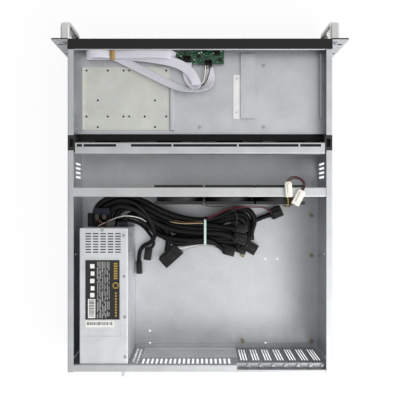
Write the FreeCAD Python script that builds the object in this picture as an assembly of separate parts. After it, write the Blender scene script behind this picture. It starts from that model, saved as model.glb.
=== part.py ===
import FreeCAD, Part

# Two-unit (2U) rack-mount server case with its lid off, in millimetres.
# The base rests on Z = 0, the front panel faces -Y and +X is on the right seen from the front.
# The origin is the centre of the base's underside, halfway between the front panel's face
# and the rear rim.

import math
import os

from FreeCAD import Vector

# --- driving dimensions -------------------------------------------------------------------

# The case as a whole
HEIGHT = 88.1                 # 2U, less the usual 0.8 mm of rack clearance
BODY_WIDTH = 430.0            # across the side walls
RACK_WIDTH = 482.6            # across the ears, the 19 inch standard
DEPTH = 542.0                 # front panel's face to the rear rim
SHEET = 1.2                   # base and side walls
THIN_SHEET = 1.0              # shelf, rails, brackets and rear panel
BEND = 0.8                    # inside radius of every fold
TOP_FLANGE = 10.0             # the side walls' inward flange, which carries the lid

# Rack ears: two slots each, one rack unit apart
EAR_SLOT_SPAN = 465.1
EAR_SLOT_PITCH = 44.45
EAR_SLOT_LENGTH = 10.3
EAR_SLOT_WIDTH = 6.8

# Front panel
PANEL_SHEET = 2.0
PANEL_LIP = 17.0              # the top edge folded back over the case

# Handles
HANDLE_WIDTH = 15.0
HANDLE_BAR = 8.0
HANDLE_REACH = 34.0
HANDLE_HEIGHT = 68.0
HANDLE_BEND = 4.0
HANDLE_ROUNDING = 3.2         # of the bar's long edges
HANDLE_X = 222.7              # centre of each handle from the case's centre plane

# Drive cage: four columns and two rows of trays for 3.5 inch drives
COLUMNS = 4
ROWS = 2
TRAY_HEIGHT = 27.0
ROW_PITCH = 29.5
LEDGE_WIDTH = 2.5
FIRST_LEDGE_Z = 3.6           # underside of the lowest ledge
TRAY_GAP = 0.3                # running clearance round a tray
TRAY_FACE_DEPTH = 12.0
TRAY_RAIL = 1.6               # thickness of a tray's side rails
TRAY_RAIL_HEIGHT = 13.0
TRAY_FLOOR = 1.2
LEVER_SHEET = 3.2
LEVER_HEIGHT = 19.0
LEVER_PIN_RADIUS = 1.0
LEVER_PIN_GAP = 0.05
BACKPLANE_SHEET = 1.6
BACKPLANE_Z = (3.0, 61.0)

# Shelf over the cage, and what is fixed on it
SHELF_TOP_Z = 67.0
SHELF_DEPTH = 153.0           # panel's face to the shelf's rear edge
SHELF_LIP = 5.7               # the stiffening angle along its rear edge
SEAL_HEIGHT = 5.0
SEAL_DEPTH = 10.6             # foam strip between the shelf and the lid rail

# Lid rail: the slotted cross channel where front and rear lids meet
LID_RAIL_GAP = 3.6            # behind the backplane's front face
LID_RAIL_WIDTH = 18.5
LID_RAIL_DEPTH = 19.0
CATCH_LENGTH = 25.0           # end blocks in the wall flanges' notches
CATCH_HEIGHT = 22.0
CATCH_WIDTH = 11.3            # inside the wall

# Fan row
FAN_SIZE = 80.0
FAN_DEPTH = 32.0
FAN_BORE = 38.2               # radius
FAN_PITCH = 83.5
FAN_OFFSET = 205.7            # from the power supply's centre plane to the middle fan's
FAN_FRONT = 238.0             # panel's face to the fans' intake side
FAN_HUB = 17.0                # radius
FAN_BLADES = 7
FAN_BAR_FRONT = 241.9         # panel's face to the bar's front edge
FAN_BAR_WIDTH = 15.7

# Power supply
PSU_WIDTH = 79.0
PSU_HEIGHT = 83.0
PSU_LENGTH = 221.5
PSU_SHEET = 0.9
PSU_WALL_GAP = 17.1           # between it and the side wall
PSU_FAN_SIZE = 40.0
PSU_FAN_DEPTH = 20.0
INLET_WIDTH = 31.0
INLET_HEIGHT = 24.0
TAB_REACH = 10.5              # its pull tab, behind the rear rim

# Rear panel
REAR_RIM = 11.0               # the rear wall stands this far in from the rear rim
SLOT_COUNT = 7                # low-profile expansion slots
SLOT_PITCH = 20.32
FIRST_SLOT_PLACE = 140.5      # X places on the rear wall, from the left wall's inner face
SLOT_LEDGE_Z = 78.5
SLOT_OPENING_WIDTH = 14.0
COVER_WIDTH = 18.4
COVER_SHEET = 0.8
IO_WIDTH = 158.75             # the standard board input/output cut-out
IO_HEIGHT = 44.45
IO_PLACE = 231.5
IO_LOW_Z = 7.0
VENT_COUNT = 20
VENT_PITCH = 7.5
VENT_PLACE = 307.8

# Board mounting: standard board hole rows, on threaded standoffs
STANDOFF_HEIGHT = 6.35
STANDOFF_RADIUS = 3.2
BOARD_HOLE_COLUMNS = 124.46
BOARD_HOLE_ROWS = (0.0, 154.94, 227.33)
BOARD_WALL_GAP = 12.0         # the outer column of holes, from the side wall
BOARD_EDGE = 11.5             # the rear row stands this far in from the rear wall

# Front control board
BOARD_WIDTH = 79.0
BOARD_DEPTH = 33.6
BOARD_Z = 71.0
BOARD_SHEET = 1.6

# --- places worked out from them ----------------------------------------------------------

FRONT = -DEPTH / 2
REAR = DEPTH / 2
PANEL_BACK = FRONT + PANEL_SHEET
WALL_X = BODY_WIDTH / 2 - SHEET          # inner face of a side wall
CEILING = HEIGHT - SHEET                 # underside of the top flange
SHELF_LOW_Z = SHELF_TOP_Z - THIN_SHEET
REAR_WALL = REAR - REAR_RIM              # outer face of the rear wall
REAR_WALL_IN = REAR_WALL - THIN_SHEET
CAGE_DEPTH = SHELF_DEPTH + SEAL_DEPTH + 2.0      # panel's face to the backplane
CAGE_BACK = FRONT + CAGE_DEPTH
TRAY_LENGTH = SHELF_DEPTH - 2.0
BAY_WIDTH = (2 * WALL_X - (COLUMNS + 1) * THIN_SHEET) / COLUMNS
BAY_PITCH = BAY_WIDTH + THIN_SHEET
TRAY_WIDTH = BAY_WIDTH - 2 * TRAY_GAP
LID_RAIL_FRONT = CAGE_BACK + LID_RAIL_GAP
LID_RAIL_END = WALL_X - CATCH_WIDTH              # half its length
PSU_X = WALL_X - PSU_WALL_GAP - PSU_WIDTH / 2    # its centre plane
FAN_LOW_Z = SHEET
FAN_TOP_Z = FAN_LOW_Z + FAN_SIZE
FAN_MIDDLE_X = PSU_X - FAN_OFFSET
FIRST_SLOT_X = FIRST_SLOT_PLACE - WALL_X
IO_CENTRE_X = IO_PLACE - WALL_X
VENT_FIRST_X = VENT_PLACE - WALL_X
BOARD_COLUMN_X = BOARD_WALL_GAP - WALL_X


# --- small makers -------------------------------------------------------------------------

def block(x, y, z):
    """A box from three (low, high) pairs."""
    return Part.makeBox(x[1] - x[0], y[1] - y[0], z[1] - z[0], Vector(x[0], y[0], z[0]))


def rod(radius, start, length, axis):
    return Part.makeCylinder(radius, length, Vector(*start), Vector(*axis))


def outline(points):
    """A flat face bounded by straight lines."""
    corners = [Vector(*p) for p in points]
    return Part.Face(Part.makePolygon(corners + corners[:1]))


def in_xz(y):
    return lambda a, b: Vector(a, y, b)


def in_yz(x):
    return lambda a, b: Vector(x, a, b)


def in_xy(z):
    return lambda a, b: Vector(a, b, z)


def folded(corners, sheet, place, along, bend=BEND):
    """A folded sheet: corners of the sheet's middle line, bent with an inside radius."""
    radius = bend + sheet / 2
    points = [Vector(a, b, 0) for a, b in corners]
    runs = [(q - p).normalize() for p, q in zip(points, points[1:])]
    ring, ends = [], []
    for side in (sheet / 2, -sheet / 2):
        shifts = [Vector(-run.y, run.x, 0) * side for run in runs]
        last = points[0] + shifts[0]
        ends.append([last])
        for i in range(1, len(runs)):
            before, after = runs[i - 1], runs[i]
            turn = before.getAngle(after)
            reach = radius * math.tan(turn / 2)
            centre = points[i] + (after - before).normalize() * (radius / math.cos(turn / 2))
            inward = 1 if before.cross(after).z > 0 else -1
            share = (radius - inward * side) / radius
            begin = centre + (points[i] - before * reach - centre) * share
            middle = centre + (points[i] - centre).normalize() * (radius * share)
            end = centre + (points[i] + after * reach - centre) * share
            ring += [[last, begin], [begin, middle, end]]
            last = end
        ring.append([last, points[-1] + shifts[-1]])
        ends[-1].append(points[-1] + shifts[-1])
    ring += [[ends[0][0], ends[1][0]], [ends[0][1], ends[1][1]]]
    edges = []
    for spots in ring:
        spots = [place(p.x, p.y) for p in spots]
        if len(spots) == 3:
            edges.append(Part.Arc(*spots).toShape())
        elif spots[0].distanceToPoint(spots[1]) > 1e-6:
            edges.append(Part.LineSegment(*spots).toShape())
    return Part.Face(Part.Wire(Part.__sortEdges__(edges))).extrude(Vector(*along))


def slot_hole(length, width, centre, axis, depth, along):
    """A round-ended hole through a sheet, longer in the direction of along."""
    run = Vector(*along).normalize() * ((length - width) / 2)
    across = Vector(*axis).cross(run).normalize() * (width / 2)
    middle = Vector(*centre)
    tip = Vector(*along).normalize() * (length / 2)
    ring = [
        Part.LineSegment(middle - run + across, middle + run + across).toShape(),
        Part.Arc(middle + run + across, middle + tip, middle + run - across).toShape(),
        Part.LineSegment(middle + run - across, middle - run - across).toShape(),
        Part.Arc(middle - run - across, middle - tip, middle - run + across).toShape(),
    ]
    return Part.Face(Part.Wire(ring)).extrude(Vector(*axis) * depth)


def hexagon_hole(across_flats, centre, axis, depth):
    """A six-sided vent hole."""
    radius = across_flats / math.sqrt(3)
    middle, way = Vector(*centre), Vector(*axis)
    side = Vector(0, 0, 1) if abs(way.z) < 0.5 else Vector(0, 1, 0)
    other = way.cross(side)
    corners = [middle + side * (radius * math.cos(a)) + other * (radius * math.sin(a))
               for a in (math.radians(60 * i) for i in range(7))]
    return Part.Face(Part.makePolygon(corners)).extrude(way * depth)


def joined(shapes):
    first, rest = shapes[0], shapes[1:]
    return (first.fuse(rest) if rest else first).removeSplitter()


def save(node, *solids):
    shape = solids[0] if len(solids) == 1 else Part.makeCompound(list(solids))
    shape.exportStep(os.path.join("parts", node + ".step"))
    state = "valid" if shape.isValid() else "NOT VALID"
    print(node, len(shape.Solids), state, round(shape.Volume / 1000, 1))


# --- base and side walls ------------------------------------------------------------------

# One folded tub: base, two side walls with inward top flanges, and the rack ears. A cross tie
# is welded between the walls under the front panel's lip.

EAR_Y = PANEL_BACK + SHEET / 2
EAR_BEND_END = PANEL_BACK + SHEET + BEND
CATCH_FRONT = LID_RAIL_FRONT - 12.0
RAIL_HOLE_RADIUS = 2.1
RAIL_HOLE_Z = 44.0
RAIL_HOLE_Y = (-215.0, 85.0)
SIDE_VENT_Y = FRONT + 197.6
FLOOR_HOLES = ((91.0, 229.3), (91.0, 252.0), (-119.2, 98.8), (-140.7, 98.8), (-119.2, 252.0))
SIDE_VENT_COUNT = 4
SIDE_VENT_PITCH = 7.7
TIE_SHOWING = 1.4             # the front cross tie's rear edge, behind the panel's lip
TIE_DROP = 1.7


def ear_slot(side, level, y, depth):
    """One of the rack screws' slots, cut from y through an ear."""
    return slot_hole(EAR_SLOT_LENGTH, EAR_SLOT_WIDTH,
                     (side * EAR_SLOT_SPAN / 2, y, HEIGHT / 2 + level * EAR_SLOT_PITCH / 2),
                     (0, 1, 0), depth, (1, 0, 0))


def make_chassis():
    wall, top = BODY_WIDTH / 2 - SHEET / 2, HEIGHT - SHEET / 2
    flange = BODY_WIDTH / 2 - TOP_FLANGE
    tub = folded([(flange, top), (wall, top), (wall, SHEET / 2),
                  (-wall, SHEET / 2), (-wall, top), (-flange, top)],
                 SHEET, in_xz(EAR_BEND_END), (0, REAR - EAR_BEND_END, 0))
    pieces = [tub, block((-wall + 2, wall - 2), (PANEL_BACK, EAR_BEND_END), (0, SHEET))]
    for side in (1, -1):
        ear = [(side * wall, EAR_BEND_END), (side * wall, EAR_Y), (side * RACK_WIDTH / 2, EAR_Y)]
        pieces.append(folded(ear, SHEET, in_xy(0), (0, 0, HEIGHT)))
    tub = joined(pieces)
    flange_front = FRONT + PANEL_LIP + TIE_SHOWING + TRAY_GAP
    tools = [block((-BODY_WIDTH / 2, BODY_WIDTH / 2), (PANEL_BACK - 1, flange_front),
                   (HEIGHT - PANEL_SHEET - BEND, HEIGHT + 1))]
    for side in (1, -1):
        for level in (-1, 1):
            tools.append(ear_slot(side, level, PANEL_BACK - 1, SHEET + 2))
        outside = side * (BODY_WIDTH / 2 + 1)
        tools.append(block(sorted((side * (BODY_WIDTH / 2 - TOP_FLANGE - 1), outside)),
                           (CATCH_FRONT, CATCH_FRONT + CATCH_LENGTH), (HEIGHT - CATCH_HEIGHT / 2, HEIGHT + 1)))
        for i in range(SIDE_VENT_COUNT):
            y = SIDE_VENT_Y + SIDE_VENT_PITCH * i
            tools.append(block(sorted((side * (WALL_X - 1), outside)), (y, y + 4.0), (10.0, 43.0)))
        for y in RAIL_HOLE_Y:
            place = (side * (WALL_X - 1), y, RAIL_HOLE_Z)
            tools.append(rod(RAIL_HOLE_RADIUS, place, SHEET + 2, (side, 0, 0)))
    for x, y in FLOOR_HOLES:
        tools.append(rod(2.2, (x, y, -1), SHEET + 2, (0, 0, 1)))
    tie_z, tie_y = HEIGHT - PANEL_SHEET - THIN_SHEET / 2, FRONT + PANEL_LIP + TIE_SHOWING - THIN_SHEET / 2
    tie = folded([(PANEL_BACK + 3.0, tie_z), (tie_y, tie_z), (tie_y, tie_z - TIE_DROP)],
                 THIN_SHEET, in_yz(-WALL_X), (2 * WALL_X, 0, 0), 0.3)
    save("chassis", joined([tub.cut(tools), tie]))


# --- rear panel ---------------------------------------------------------------------------

# One folded sheet: a bottom flange on the base, the wall with its cut-outs, and the rear rim.
# Behind the expansion slots the wall stops at the screw ledge, and the rim stands behind it.

VENT_HEXAGON = 5.0            # across flats
LEDGE_DEPTH = 8.0
RIM_DROP = 6.0
BOTTOM_FLANGE = 7.0
LEDGE_SPLIT_X = FIRST_SLOT_X + 13.3


def slot_x(i):
    return FIRST_SLOT_X - i * SLOT_PITCH


def make_rear_panel():
    half = THIN_SHEET / 2
    wall, low, top = REAR_WALL - half, SHEET + half, CEILING - half
    high = HEIGHT - half
    plain = folded([(wall - BOTTOM_FLANGE, low), (wall, low), (wall, top), (REAR - half, top),
                    (REAR - half, top - RIM_DROP)],
                   THIN_SHEET, in_yz(LEDGE_SPLIT_X), (WALL_X - BEND - LEDGE_SPLIT_X, 0, 0))
    stepped = folded([(wall - BOTTOM_FLANGE, low), (wall, low), (wall, SLOT_LEDGE_Z - half),
                      (wall + LEDGE_DEPTH, SLOT_LEDGE_Z - half), (wall + LEDGE_DEPTH, top), (REAR, top)],
                     THIN_SHEET, in_yz(BEND - WALL_X), (WALL_X - BEND + LEDGE_SPLIT_X, 0, 0), 0.4)
    panel = joined([plain, stepped])
    reach = (REAR_WALL_IN - 2, REAR_WALL + 2)
    tools = [block((IO_CENTRE_X - IO_WIDTH / 2, IO_CENTRE_X + IO_WIDTH / 2), reach,
                   (IO_LOW_Z, IO_LOW_Z + IO_HEIGHT))]
    for i in range(SLOT_COUNT):
        x = slot_x(i)
        tools.append(block((x - SLOT_OPENING_WIDTH / 2, x + SLOT_OPENING_WIDTH / 2), reach,
                           (12.0, SLOT_LEDGE_Z - 6)))
    for i in range(VENT_COUNT):
        x = VENT_FIRST_X - i * VENT_PITCH
        tools.append(block((x - 1.9, x + 1.9), reach, (IO_LOW_Z + IO_HEIGHT + 6.5, CEILING - 5)))
    border = 5.0
    tools.append(block((PSU_X - PSU_WIDTH / 2 + border, PSU_X + PSU_WIDTH / 2 - border), reach,
                       (SHEET + border, SHEET + PSU_HEIGHT - border)))
    for column in range(2):
        for row in range(9):
            tools.append(hexagon_hole(VENT_HEXAGON, (PSU_X - PSU_WIDTH / 2 - 7.5 - 6.6 * column, reach[0],
                                               12.0 + 7.6 * row + 3.8 * column), (0, 1, 0), 4))
    tools.append(block((PSU_X - PSU_WIDTH / 2 - 1, WALL_X), (REAR_WALL_IN - BOTTOM_FLANGE - 2, REAR_WALL_IN),
                       (SHEET, SHEET + THIN_SHEET + BEND)))
    save("rear_panel", panel.cut(tools))


def make_io_shield():
    fit = 0.15
    x = (IO_CENTRE_X - IO_WIDTH / 2 + fit, IO_CENTRE_X + IO_WIDTH / 2 - fit)
    z = (IO_LOW_Z + fit, IO_LOW_Z + IO_HEIGHT - fit)
    face = block(x, (REAR_WALL_IN, REAR_WALL), z)
    spring = block((x[0] - 2.2, x[1] + 2.2), (REAR_WALL_IN - 0.4, REAR_WALL_IN), (z[0] - 2.2, z[1] + 2.2))
    hollow = block((x[0] + 0.5, x[1] - 0.5), (REAR_WALL_IN - 1, REAR_WALL - 0.5), (z[0] + 0.5, z[1] - 0.5))
    save("io_shield", joined([face, spring]).cut(hollow))


def make_slot_covers():
    covers = []
    wall, top = REAR_WALL_IN - COVER_SHEET / 2, SLOT_LEDGE_Z + COVER_SHEET / 2
    for i in range(SLOT_COUNT):
        x = slot_x(i)
        strip = folded([(wall, 6.0), (wall, top), (REAR_WALL + LEDGE_DEPTH - 1.5, top)],
                       COVER_SHEET, in_yz(x - COVER_WIDTH / 2), (COVER_WIDTH, 0, 0), 0.2)
        cuts = [block((x + s - 1.2, x + s + 1.2), (REAR_WALL_IN - 3, REAR_WALL), (16.0, SLOT_LEDGE_Z - 9))
                for s in (-4.4, 0, 4.4)]
        covers.append(strip.cut(cuts))
    save("slot_covers", *covers)


# --- front panel and handles --------------------------------------------------------------

WINDOW_Z = (FIRST_LEDGE_Z - 0.4,
            FIRST_LEDGE_Z + (ROWS - 1) * ROW_PITCH + THIN_SHEET + TRAY_HEIGHT + 2 * TRAY_GAP)
DRIVE_SLOT_WIDTH = 129.0      # slim optical drive opening
DRIVE_SLOT_HEIGHT = 13.0
DRIVE_SLOT_X = 80.8 - WALL_X
DRIVE_SLOT_Z = 70.5
POWER_BUTTON = (-26.0, 77.5, 4.0)    # X, Z, radius
RESET_BUTTON = (-12.0, 77.5, 2.0)
BUTTON_GAP = 0.3
LAMP_X = (-3.0, 3.0, 9.0)
PORT_X = (18.5, 32.5)         # the two sockets on the front control board
PORT_WIDTH = 13.2
PORT_HEIGHT = 7.2
PANEL_VENT_X = 60.0           # the panel's vent holes start here


def make_front_panel():
    half = PANEL_SHEET / 2
    face, high = FRONT + half, HEIGHT - half
    lip = folded([(FRONT + PANEL_LIP, high), (face, high), (face, HEIGHT - 12)],
                 PANEL_SHEET, in_yz(-BODY_WIDTH / 2), (BODY_WIDTH, 0, 0))
    plate = block((-RACK_WIDTH / 2, RACK_WIDTH / 2), (FRONT, PANEL_BACK), (0, HEIGHT))
    top = block((-BODY_WIDTH / 2, BODY_WIDTH / 2), (FRONT, PANEL_BACK), (HEIGHT - 12, HEIGHT))
    panel = joined([plate.cut(top), lip])
    through = (FRONT - 1, PANEL_BACK + 1)
    tools = [block((-WALL_X + THIN_SHEET, WALL_X - THIN_SHEET), through, WINDOW_Z),
             block((DRIVE_SLOT_X - DRIVE_SLOT_WIDTH / 2, DRIVE_SLOT_X + DRIVE_SLOT_WIDTH / 2), through,
                   (DRIVE_SLOT_Z, DRIVE_SLOT_Z + DRIVE_SLOT_HEIGHT))]
    for side in (1, -1):
        for level in (-1, 1):
            tools.append(ear_slot(side, level, through[0], PANEL_SHEET + 2))
    for x, z, radius in (POWER_BUTTON, RESET_BUTTON):
        tools.append(rod(radius + BUTTON_GAP, (x, through[0], z), PANEL_SHEET + 2, (0, 1, 0)))
    for x in LAMP_X:
        tools.append(rod(1.5, (x, through[0], POWER_BUTTON[1]), PANEL_SHEET + 2, (0, 1, 0)))
    for x in PORT_X:
        tools.append(block((x - PORT_WIDTH / 2 - 0.5, x + PORT_WIDTH / 2 + 0.5), through,
                           (BOARD_Z + BOARD_SHEET - 0.5, BOARD_Z + BOARD_SHEET + PORT_HEIGHT + 0.5)))
    for row in range(3):
        for i in range(9):
            x = PANEL_VENT_X + 11.0 * i + 5.5 * (row % 2)
            tools.append(hexagon_hole(VENT_HEXAGON, (x, through[0], 70.0 + 5.6 * row), (0, 1, 0), 4))
    save("front_panel", panel.cut(tools))


def make_handle(node, side):
    low = (HEIGHT - HANDLE_HEIGHT) / 2 + HANDLE_BAR / 2
    reach = FRONT - HANDLE_REACH + HANDLE_BAR / 2
    bar = folded([(FRONT, low), (reach, low), (reach, HEIGHT - low), (FRONT, HEIGHT - low)], HANDLE_BAR,
                 in_yz(side * HANDLE_X - HANDLE_WIDTH / 2), (HANDLE_WIDTH, 0, 0), HANDLE_BEND)
    lips = [e for e in bar.Edges
            if abs(abs(e.CenterOfMass.x - side * HANDLE_X) - HANDLE_WIDTH / 2) < 0.01
            and e.BoundBox.YMax < FRONT - 0.01 or e.BoundBox.XLength < 0.01 and e.BoundBox.YLength > 5]
    save(node, bar.makeFillet(HANDLE_ROUNDING, lips))


# --- drive cage ---------------------------------------------------------------------------


def ledge_z(row):
    return FIRST_LEDGE_Z + row * ROW_PITCH


def make_bay_dividers():
    rails = []
    for i in range(COLUMNS + 1):
        x = -WALL_X + i * BAY_PITCH
        at_wall = {0: (0, 1), COLUMNS: (1, 0)}.get(i, (1, 1))
        foot = SHEET if 0 < i < COLUMNS else SHEET + BEND
        left = [(x, foot)]
        right = [(x + THIN_SHEET, foot)]
        for row in range(ROWS):
            z = ledge_z(row)
            if at_wall[0]:
                left += [(x, z), (x - LEDGE_WIDTH, z), (x - LEDGE_WIDTH, z + THIN_SHEET), (x, z + THIN_SHEET)]
            if at_wall[1]:
                right += [(x + THIN_SHEET, z), (x + THIN_SHEET + LEDGE_WIDTH, z),
                          (x + THIN_SHEET + LEDGE_WIDTH, z + THIN_SHEET), (x + THIN_SHEET, z + THIN_SHEET)]
        ring = left + [(x, SHELF_LOW_Z), (x + THIN_SHEET, SHELF_LOW_Z)] + right[::-1]
        web = outline([(a, PANEL_BACK, b) for a, b in ring]).extrude(Vector(0, CAGE_BACK - PANEL_BACK, 0))
        tools = [block((x - 5, x + 6), (FRONT + SHELF_DEPTH, CAGE_BACK + 1),
                       (SHELF_LOW_Z - SEAL_HEIGHT, HEIGHT))]
        for row in range(ROWS):
            z = ledge_z(row) + THIN_SHEET
            for k in range(3):
                y = FRONT + 41.0 + 38.0 * k
                tools.append(slot_hole(28.0, 11.0, (x - 1, y, z + 14.5), (1, 0, 0), THIN_SHEET + 2, (0, 1, 0)))
        rails.append(web.cut(tools))
    save("bay_dividers", *rails)


PLATE_HOLE = 1.7
SMALL_DRIVE_WIDTH = 61.72     # standard 2.5 inch hole pattern, at three places
SMALL_DRIVE_LENGTH = 76.6
SMALL_DRIVE_X = (WALL_X - 24.6, WALL_X - 60.0, WALL_X - 95.7)
SMALL_DRIVE_Y = 46.8
LARGE_DRIVE_WIDTH = 95.25     # standard 3.5 inch hole pattern
LARGE_DRIVE_LENGTH = 44.45
LARGE_DRIVE_X = WALL_X - 43.5
LARGE_DRIVE_Y = 96.6
ACCESS_HOLE = 3.5             # in the shelf below each, for the screw's head


def plate_holes():
    """Where the drive plate is drilled for small and large drives."""
    for start in SMALL_DRIVE_X:
        for x in (start, start - SMALL_DRIVE_WIDTH):
            for y in (SMALL_DRIVE_Y, SMALL_DRIVE_Y + SMALL_DRIVE_LENGTH):
                yield x, FRONT + y
    for x in (LARGE_DRIVE_X, LARGE_DRIVE_X - LARGE_DRIVE_WIDTH):
        for y in (LARGE_DRIVE_Y, LARGE_DRIVE_Y + LARGE_DRIVE_LENGTH):
            yield x, FRONT + y


def make_shelf():
    back = FRONT + SHELF_DEPTH
    plate = block((-WALL_X, WALL_X), (PANEL_BACK, back), (SHELF_LOW_Z, SHELF_TOP_Z))
    foot, edge = SHELF_TOP_Z + THIN_SHEET / 2, back - THIN_SHEET / 2
    lip = folded([(back - SHELF_LIP, foot), (edge, foot), (edge, SHELF_TOP_Z + 4.0)],
                 THIN_SHEET, in_yz(-WALL_X + 8), (2 * WALL_X - 16, 0, 0), 0.3)
    holes = [rod(ACCESS_HOLE, (x, y, SHELF_LOW_Z - 1), THIN_SHEET + 2, (0, 0, 1)) for x, y in plate_holes()]
    save("shelf", joined([plate, lip]).cut(holes))


def make_air_seal():
    save("air_seal", block((-WALL_X, WALL_X), (FRONT + SHELF_DEPTH, CAGE_BACK - 2),
                           (SHELF_LOW_Z - SEAL_HEIGHT, SHELF_LOW_Z)))


def make_backplane():
    board = block((-WALL_X + 2, WALL_X - 2), (CAGE_BACK, CAGE_BACK + BACKPLANE_SHEET), BACKPLANE_Z)
    tools, sockets = [], []
    for column in range(COLUMNS):
        x = bay_x(column)
        for row in range(ROWS):
            z = ledge_z(row) + THIN_SHEET + TRAY_GAP
            for k in range(2):
                left = x - 42 + 46 * k
                tools.append(block((left, left + 38), (CAGE_BACK - 1, CAGE_BACK + 3), (z + 11, z + 24)))
            socket = block((x - 21, x + 21), (CAGE_BACK - 5.5, CAGE_BACK), (z + 2.5, z + 8.5))
            mouth = block((x - 18.5, x + 18.5), (CAGE_BACK - 7, CAGE_BACK - 2), (z + 4.2, z + 6.8))
            sockets.append(socket.cut(mouth))
    save("backplane", board.cut(tools), *sockets)


def bay_x(column):
    return -WALL_X + THIN_SHEET + BAY_WIDTH / 2 + column * BAY_PITCH


# --- trays and their levers ---------------------------------------------------------------

LEVER_REST = 0.4              # the lever's front face, behind the panel's face
LEVER_SIDE = 6.0              # cheek of the tray's face left of the lever
LEVER_END = 12.0              # and on the latch side


def lever_pivot(column, row):
    """Where a lever's pin stands: X, Y and the middle height."""
    return (bay_x(column) - TRAY_WIDTH / 2 + LEVER_SIDE + LEVER_SHEET / 2 + TRAY_GAP,
            FRONT + LEVER_REST + LEVER_SHEET / 2,
            ledge_z(row) + THIN_SHEET + TRAY_GAP + TRAY_HEIGHT / 2)


def make_tray(column, row):
    x, z = bay_x(column), ledge_z(row) + THIN_SHEET + TRAY_GAP
    half = TRAY_WIDTH / 2
    face = block((x - half, x + half), (FRONT, FRONT + TRAY_FACE_DEPTH), (z, z + TRAY_HEIGHT))
    rail_top, floor = z + TRAY_RAIL_HEIGHT, z + TRAY_FLOOR
    ring = [(x - half, z), (x + half, z), (x + half, rail_top), (x + half - TRAY_RAIL, rail_top),
            (x + half - TRAY_RAIL, floor), (x - half + TRAY_RAIL, floor), (x - half + TRAY_RAIL, rail_top),
            (x - half, rail_top)]
    sled = outline([(a, FRONT + TRAY_FACE_DEPTH, b) for a, b in ring])
    sled = sled.extrude(Vector(0, TRAY_LENGTH - TRAY_FACE_DEPTH, 0))
    pivot_x, pivot_y, middle = lever_pivot(column, row)
    recess_z = (middle - LEVER_HEIGHT / 2 - TRAY_GAP, middle + LEVER_HEIGHT / 2 + TRAY_GAP)
    recess_y = FRONT + LEVER_REST + LEVER_SHEET
    window_y = (FRONT + TRAY_FACE_DEPTH + 14, FRONT + TRAY_LENGTH - 14)
    tools = [block((x - half + LEVER_SIDE, x + half - LEVER_END), (FRONT - 1, recess_y + TRAY_GAP), recess_z),
             rod(LEVER_PIN_RADIUS + LEVER_PIN_GAP, (pivot_x, pivot_y, recess_z[0] - 1.5),
                 LEVER_HEIGHT + 2 * TRAY_GAP + 3, (0, 0, 1)),
             block((x - 40, x - 4), window_y, (z - 1, floor + 1)),
             block((x + 4, x + 40), window_y, (z - 1, floor + 1)),
             block((x - 43, x + 41), (recess_y + 3, FRONT + TRAY_FACE_DEPTH + 1),
                   (z + 3, z + TRAY_HEIGHT - 3))]
    for level in (-1, 0, 1):
        tools.append(slot_hole(66.0, 3.6, (x - 2, FRONT, middle + 5.6 * level), (0, 1, 0),
                               TRAY_FACE_DEPTH + 1, (1, 0, 0)))
    save(f"tray_{row * COLUMNS + column + 1}", joined([face, sled]).cut(tools))


def make_lever(column, row):
    x = bay_x(column)
    pivot_x, pivot_y, middle = lever_pivot(column, row)
    low = middle - LEVER_HEIGHT / 2
    end = x + TRAY_WIDTH / 2 - LEVER_END - TRAY_GAP
    front, back = pivot_y - LEVER_SHEET / 2, pivot_y + LEVER_SHEET / 2
    pin_end = TRAY_GAP + 1.2
    plate = joined([block((pivot_x, end), (front, back), (low, low + LEVER_HEIGHT)),
                    rod(LEVER_SHEET / 2, (pivot_x, pivot_y, low), LEVER_HEIGHT, (0, 0, 1)),
                    rod(LEVER_PIN_RADIUS, (pivot_x, pivot_y, low - pin_end), LEVER_HEIGHT + 2 * pin_end,
                        (0, 0, 1))])
    tools = [slot_hole(62.0, 3.2, (x - 2, front - 1, middle + 5.6 * level), (0, 1, 0),
                       LEVER_SHEET + 2, (1, 0, 0)) for level in (-1, 0, 1)]
    save(f"tray_lever_{row * COLUMNS + column + 1}", plate.cut(tools))


# --- what is fixed on the shelf -----------------------------------------------------------

PLATE_X = (WALL_X - 162.3, WALL_X - 18.8)            # drive mounting plate
PLATE_Y = (40.9, SHELF_DEPTH - SHELF_LIP - 1.5)      # from the panel's face
PLATE_EDGE = 6.0
CHANNEL_Y = (72.9, SHELF_DEPTH - SHELF_LIP - 0.4)    # the channel beside it, from the panel's face
CHANNEL_RISE = 4.5


def make_drive_plate():
    half = THIN_SHEET / 2
    low, right = SHELF_TOP_Z + half, PLATE_X[1] - half
    plate = folded([(PLATE_X[0], low), (right, low), (right, low + PLATE_EDGE)],
                   THIN_SHEET, in_xz(FRONT + PLATE_Y[0]), (0, PLATE_Y[1] - PLATE_Y[0], 0))
    tools = [rod(PLATE_HOLE, (x, y, SHELF_TOP_Z - 1), THIN_SHEET + 2, (0, 0, 1)) for x, y in plate_holes()]
    save("drive_plate", plate.cut(tools))
    high = low + CHANNEL_RISE
    line = [(-10.5, low), (-7.9, low), (-7.9, high), (-2.1, high), (-2.1, low), (-0.5, low)]
    channel = folded([(PLATE_X[0] + a, b) for a, b in line], THIN_SHEET, in_xz(FRONT + CHANNEL_Y[0]),
                     (0, CHANNEL_Y[1] - CHANNEL_Y[0], 0), 0.4)
    save("drive_plate_rail", channel)


BRACKET_Y = (20.0, 54.1, 127.0)      # optical drive bracket: ledge, foot and end, from the panel's face
BRACKET_X = 158.3 - WALL_X
BRACKET_FOOT = 11.6
BRACKET_LEDGE = 25.0
BRACKET_RISE = 2.5
BRACKET_SCREWS = (60.4, 116.2)
DRIVE_RAIL_X = (7.1 - WALL_X, 14.6 - WALL_X)
DRIVE_RAIL_Y = (22.0, 127.0)
DRIVE_RAIL_RISE = 9.0
DRIVE_RAIL_SCREWS = (31.0, 121.5)


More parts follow.
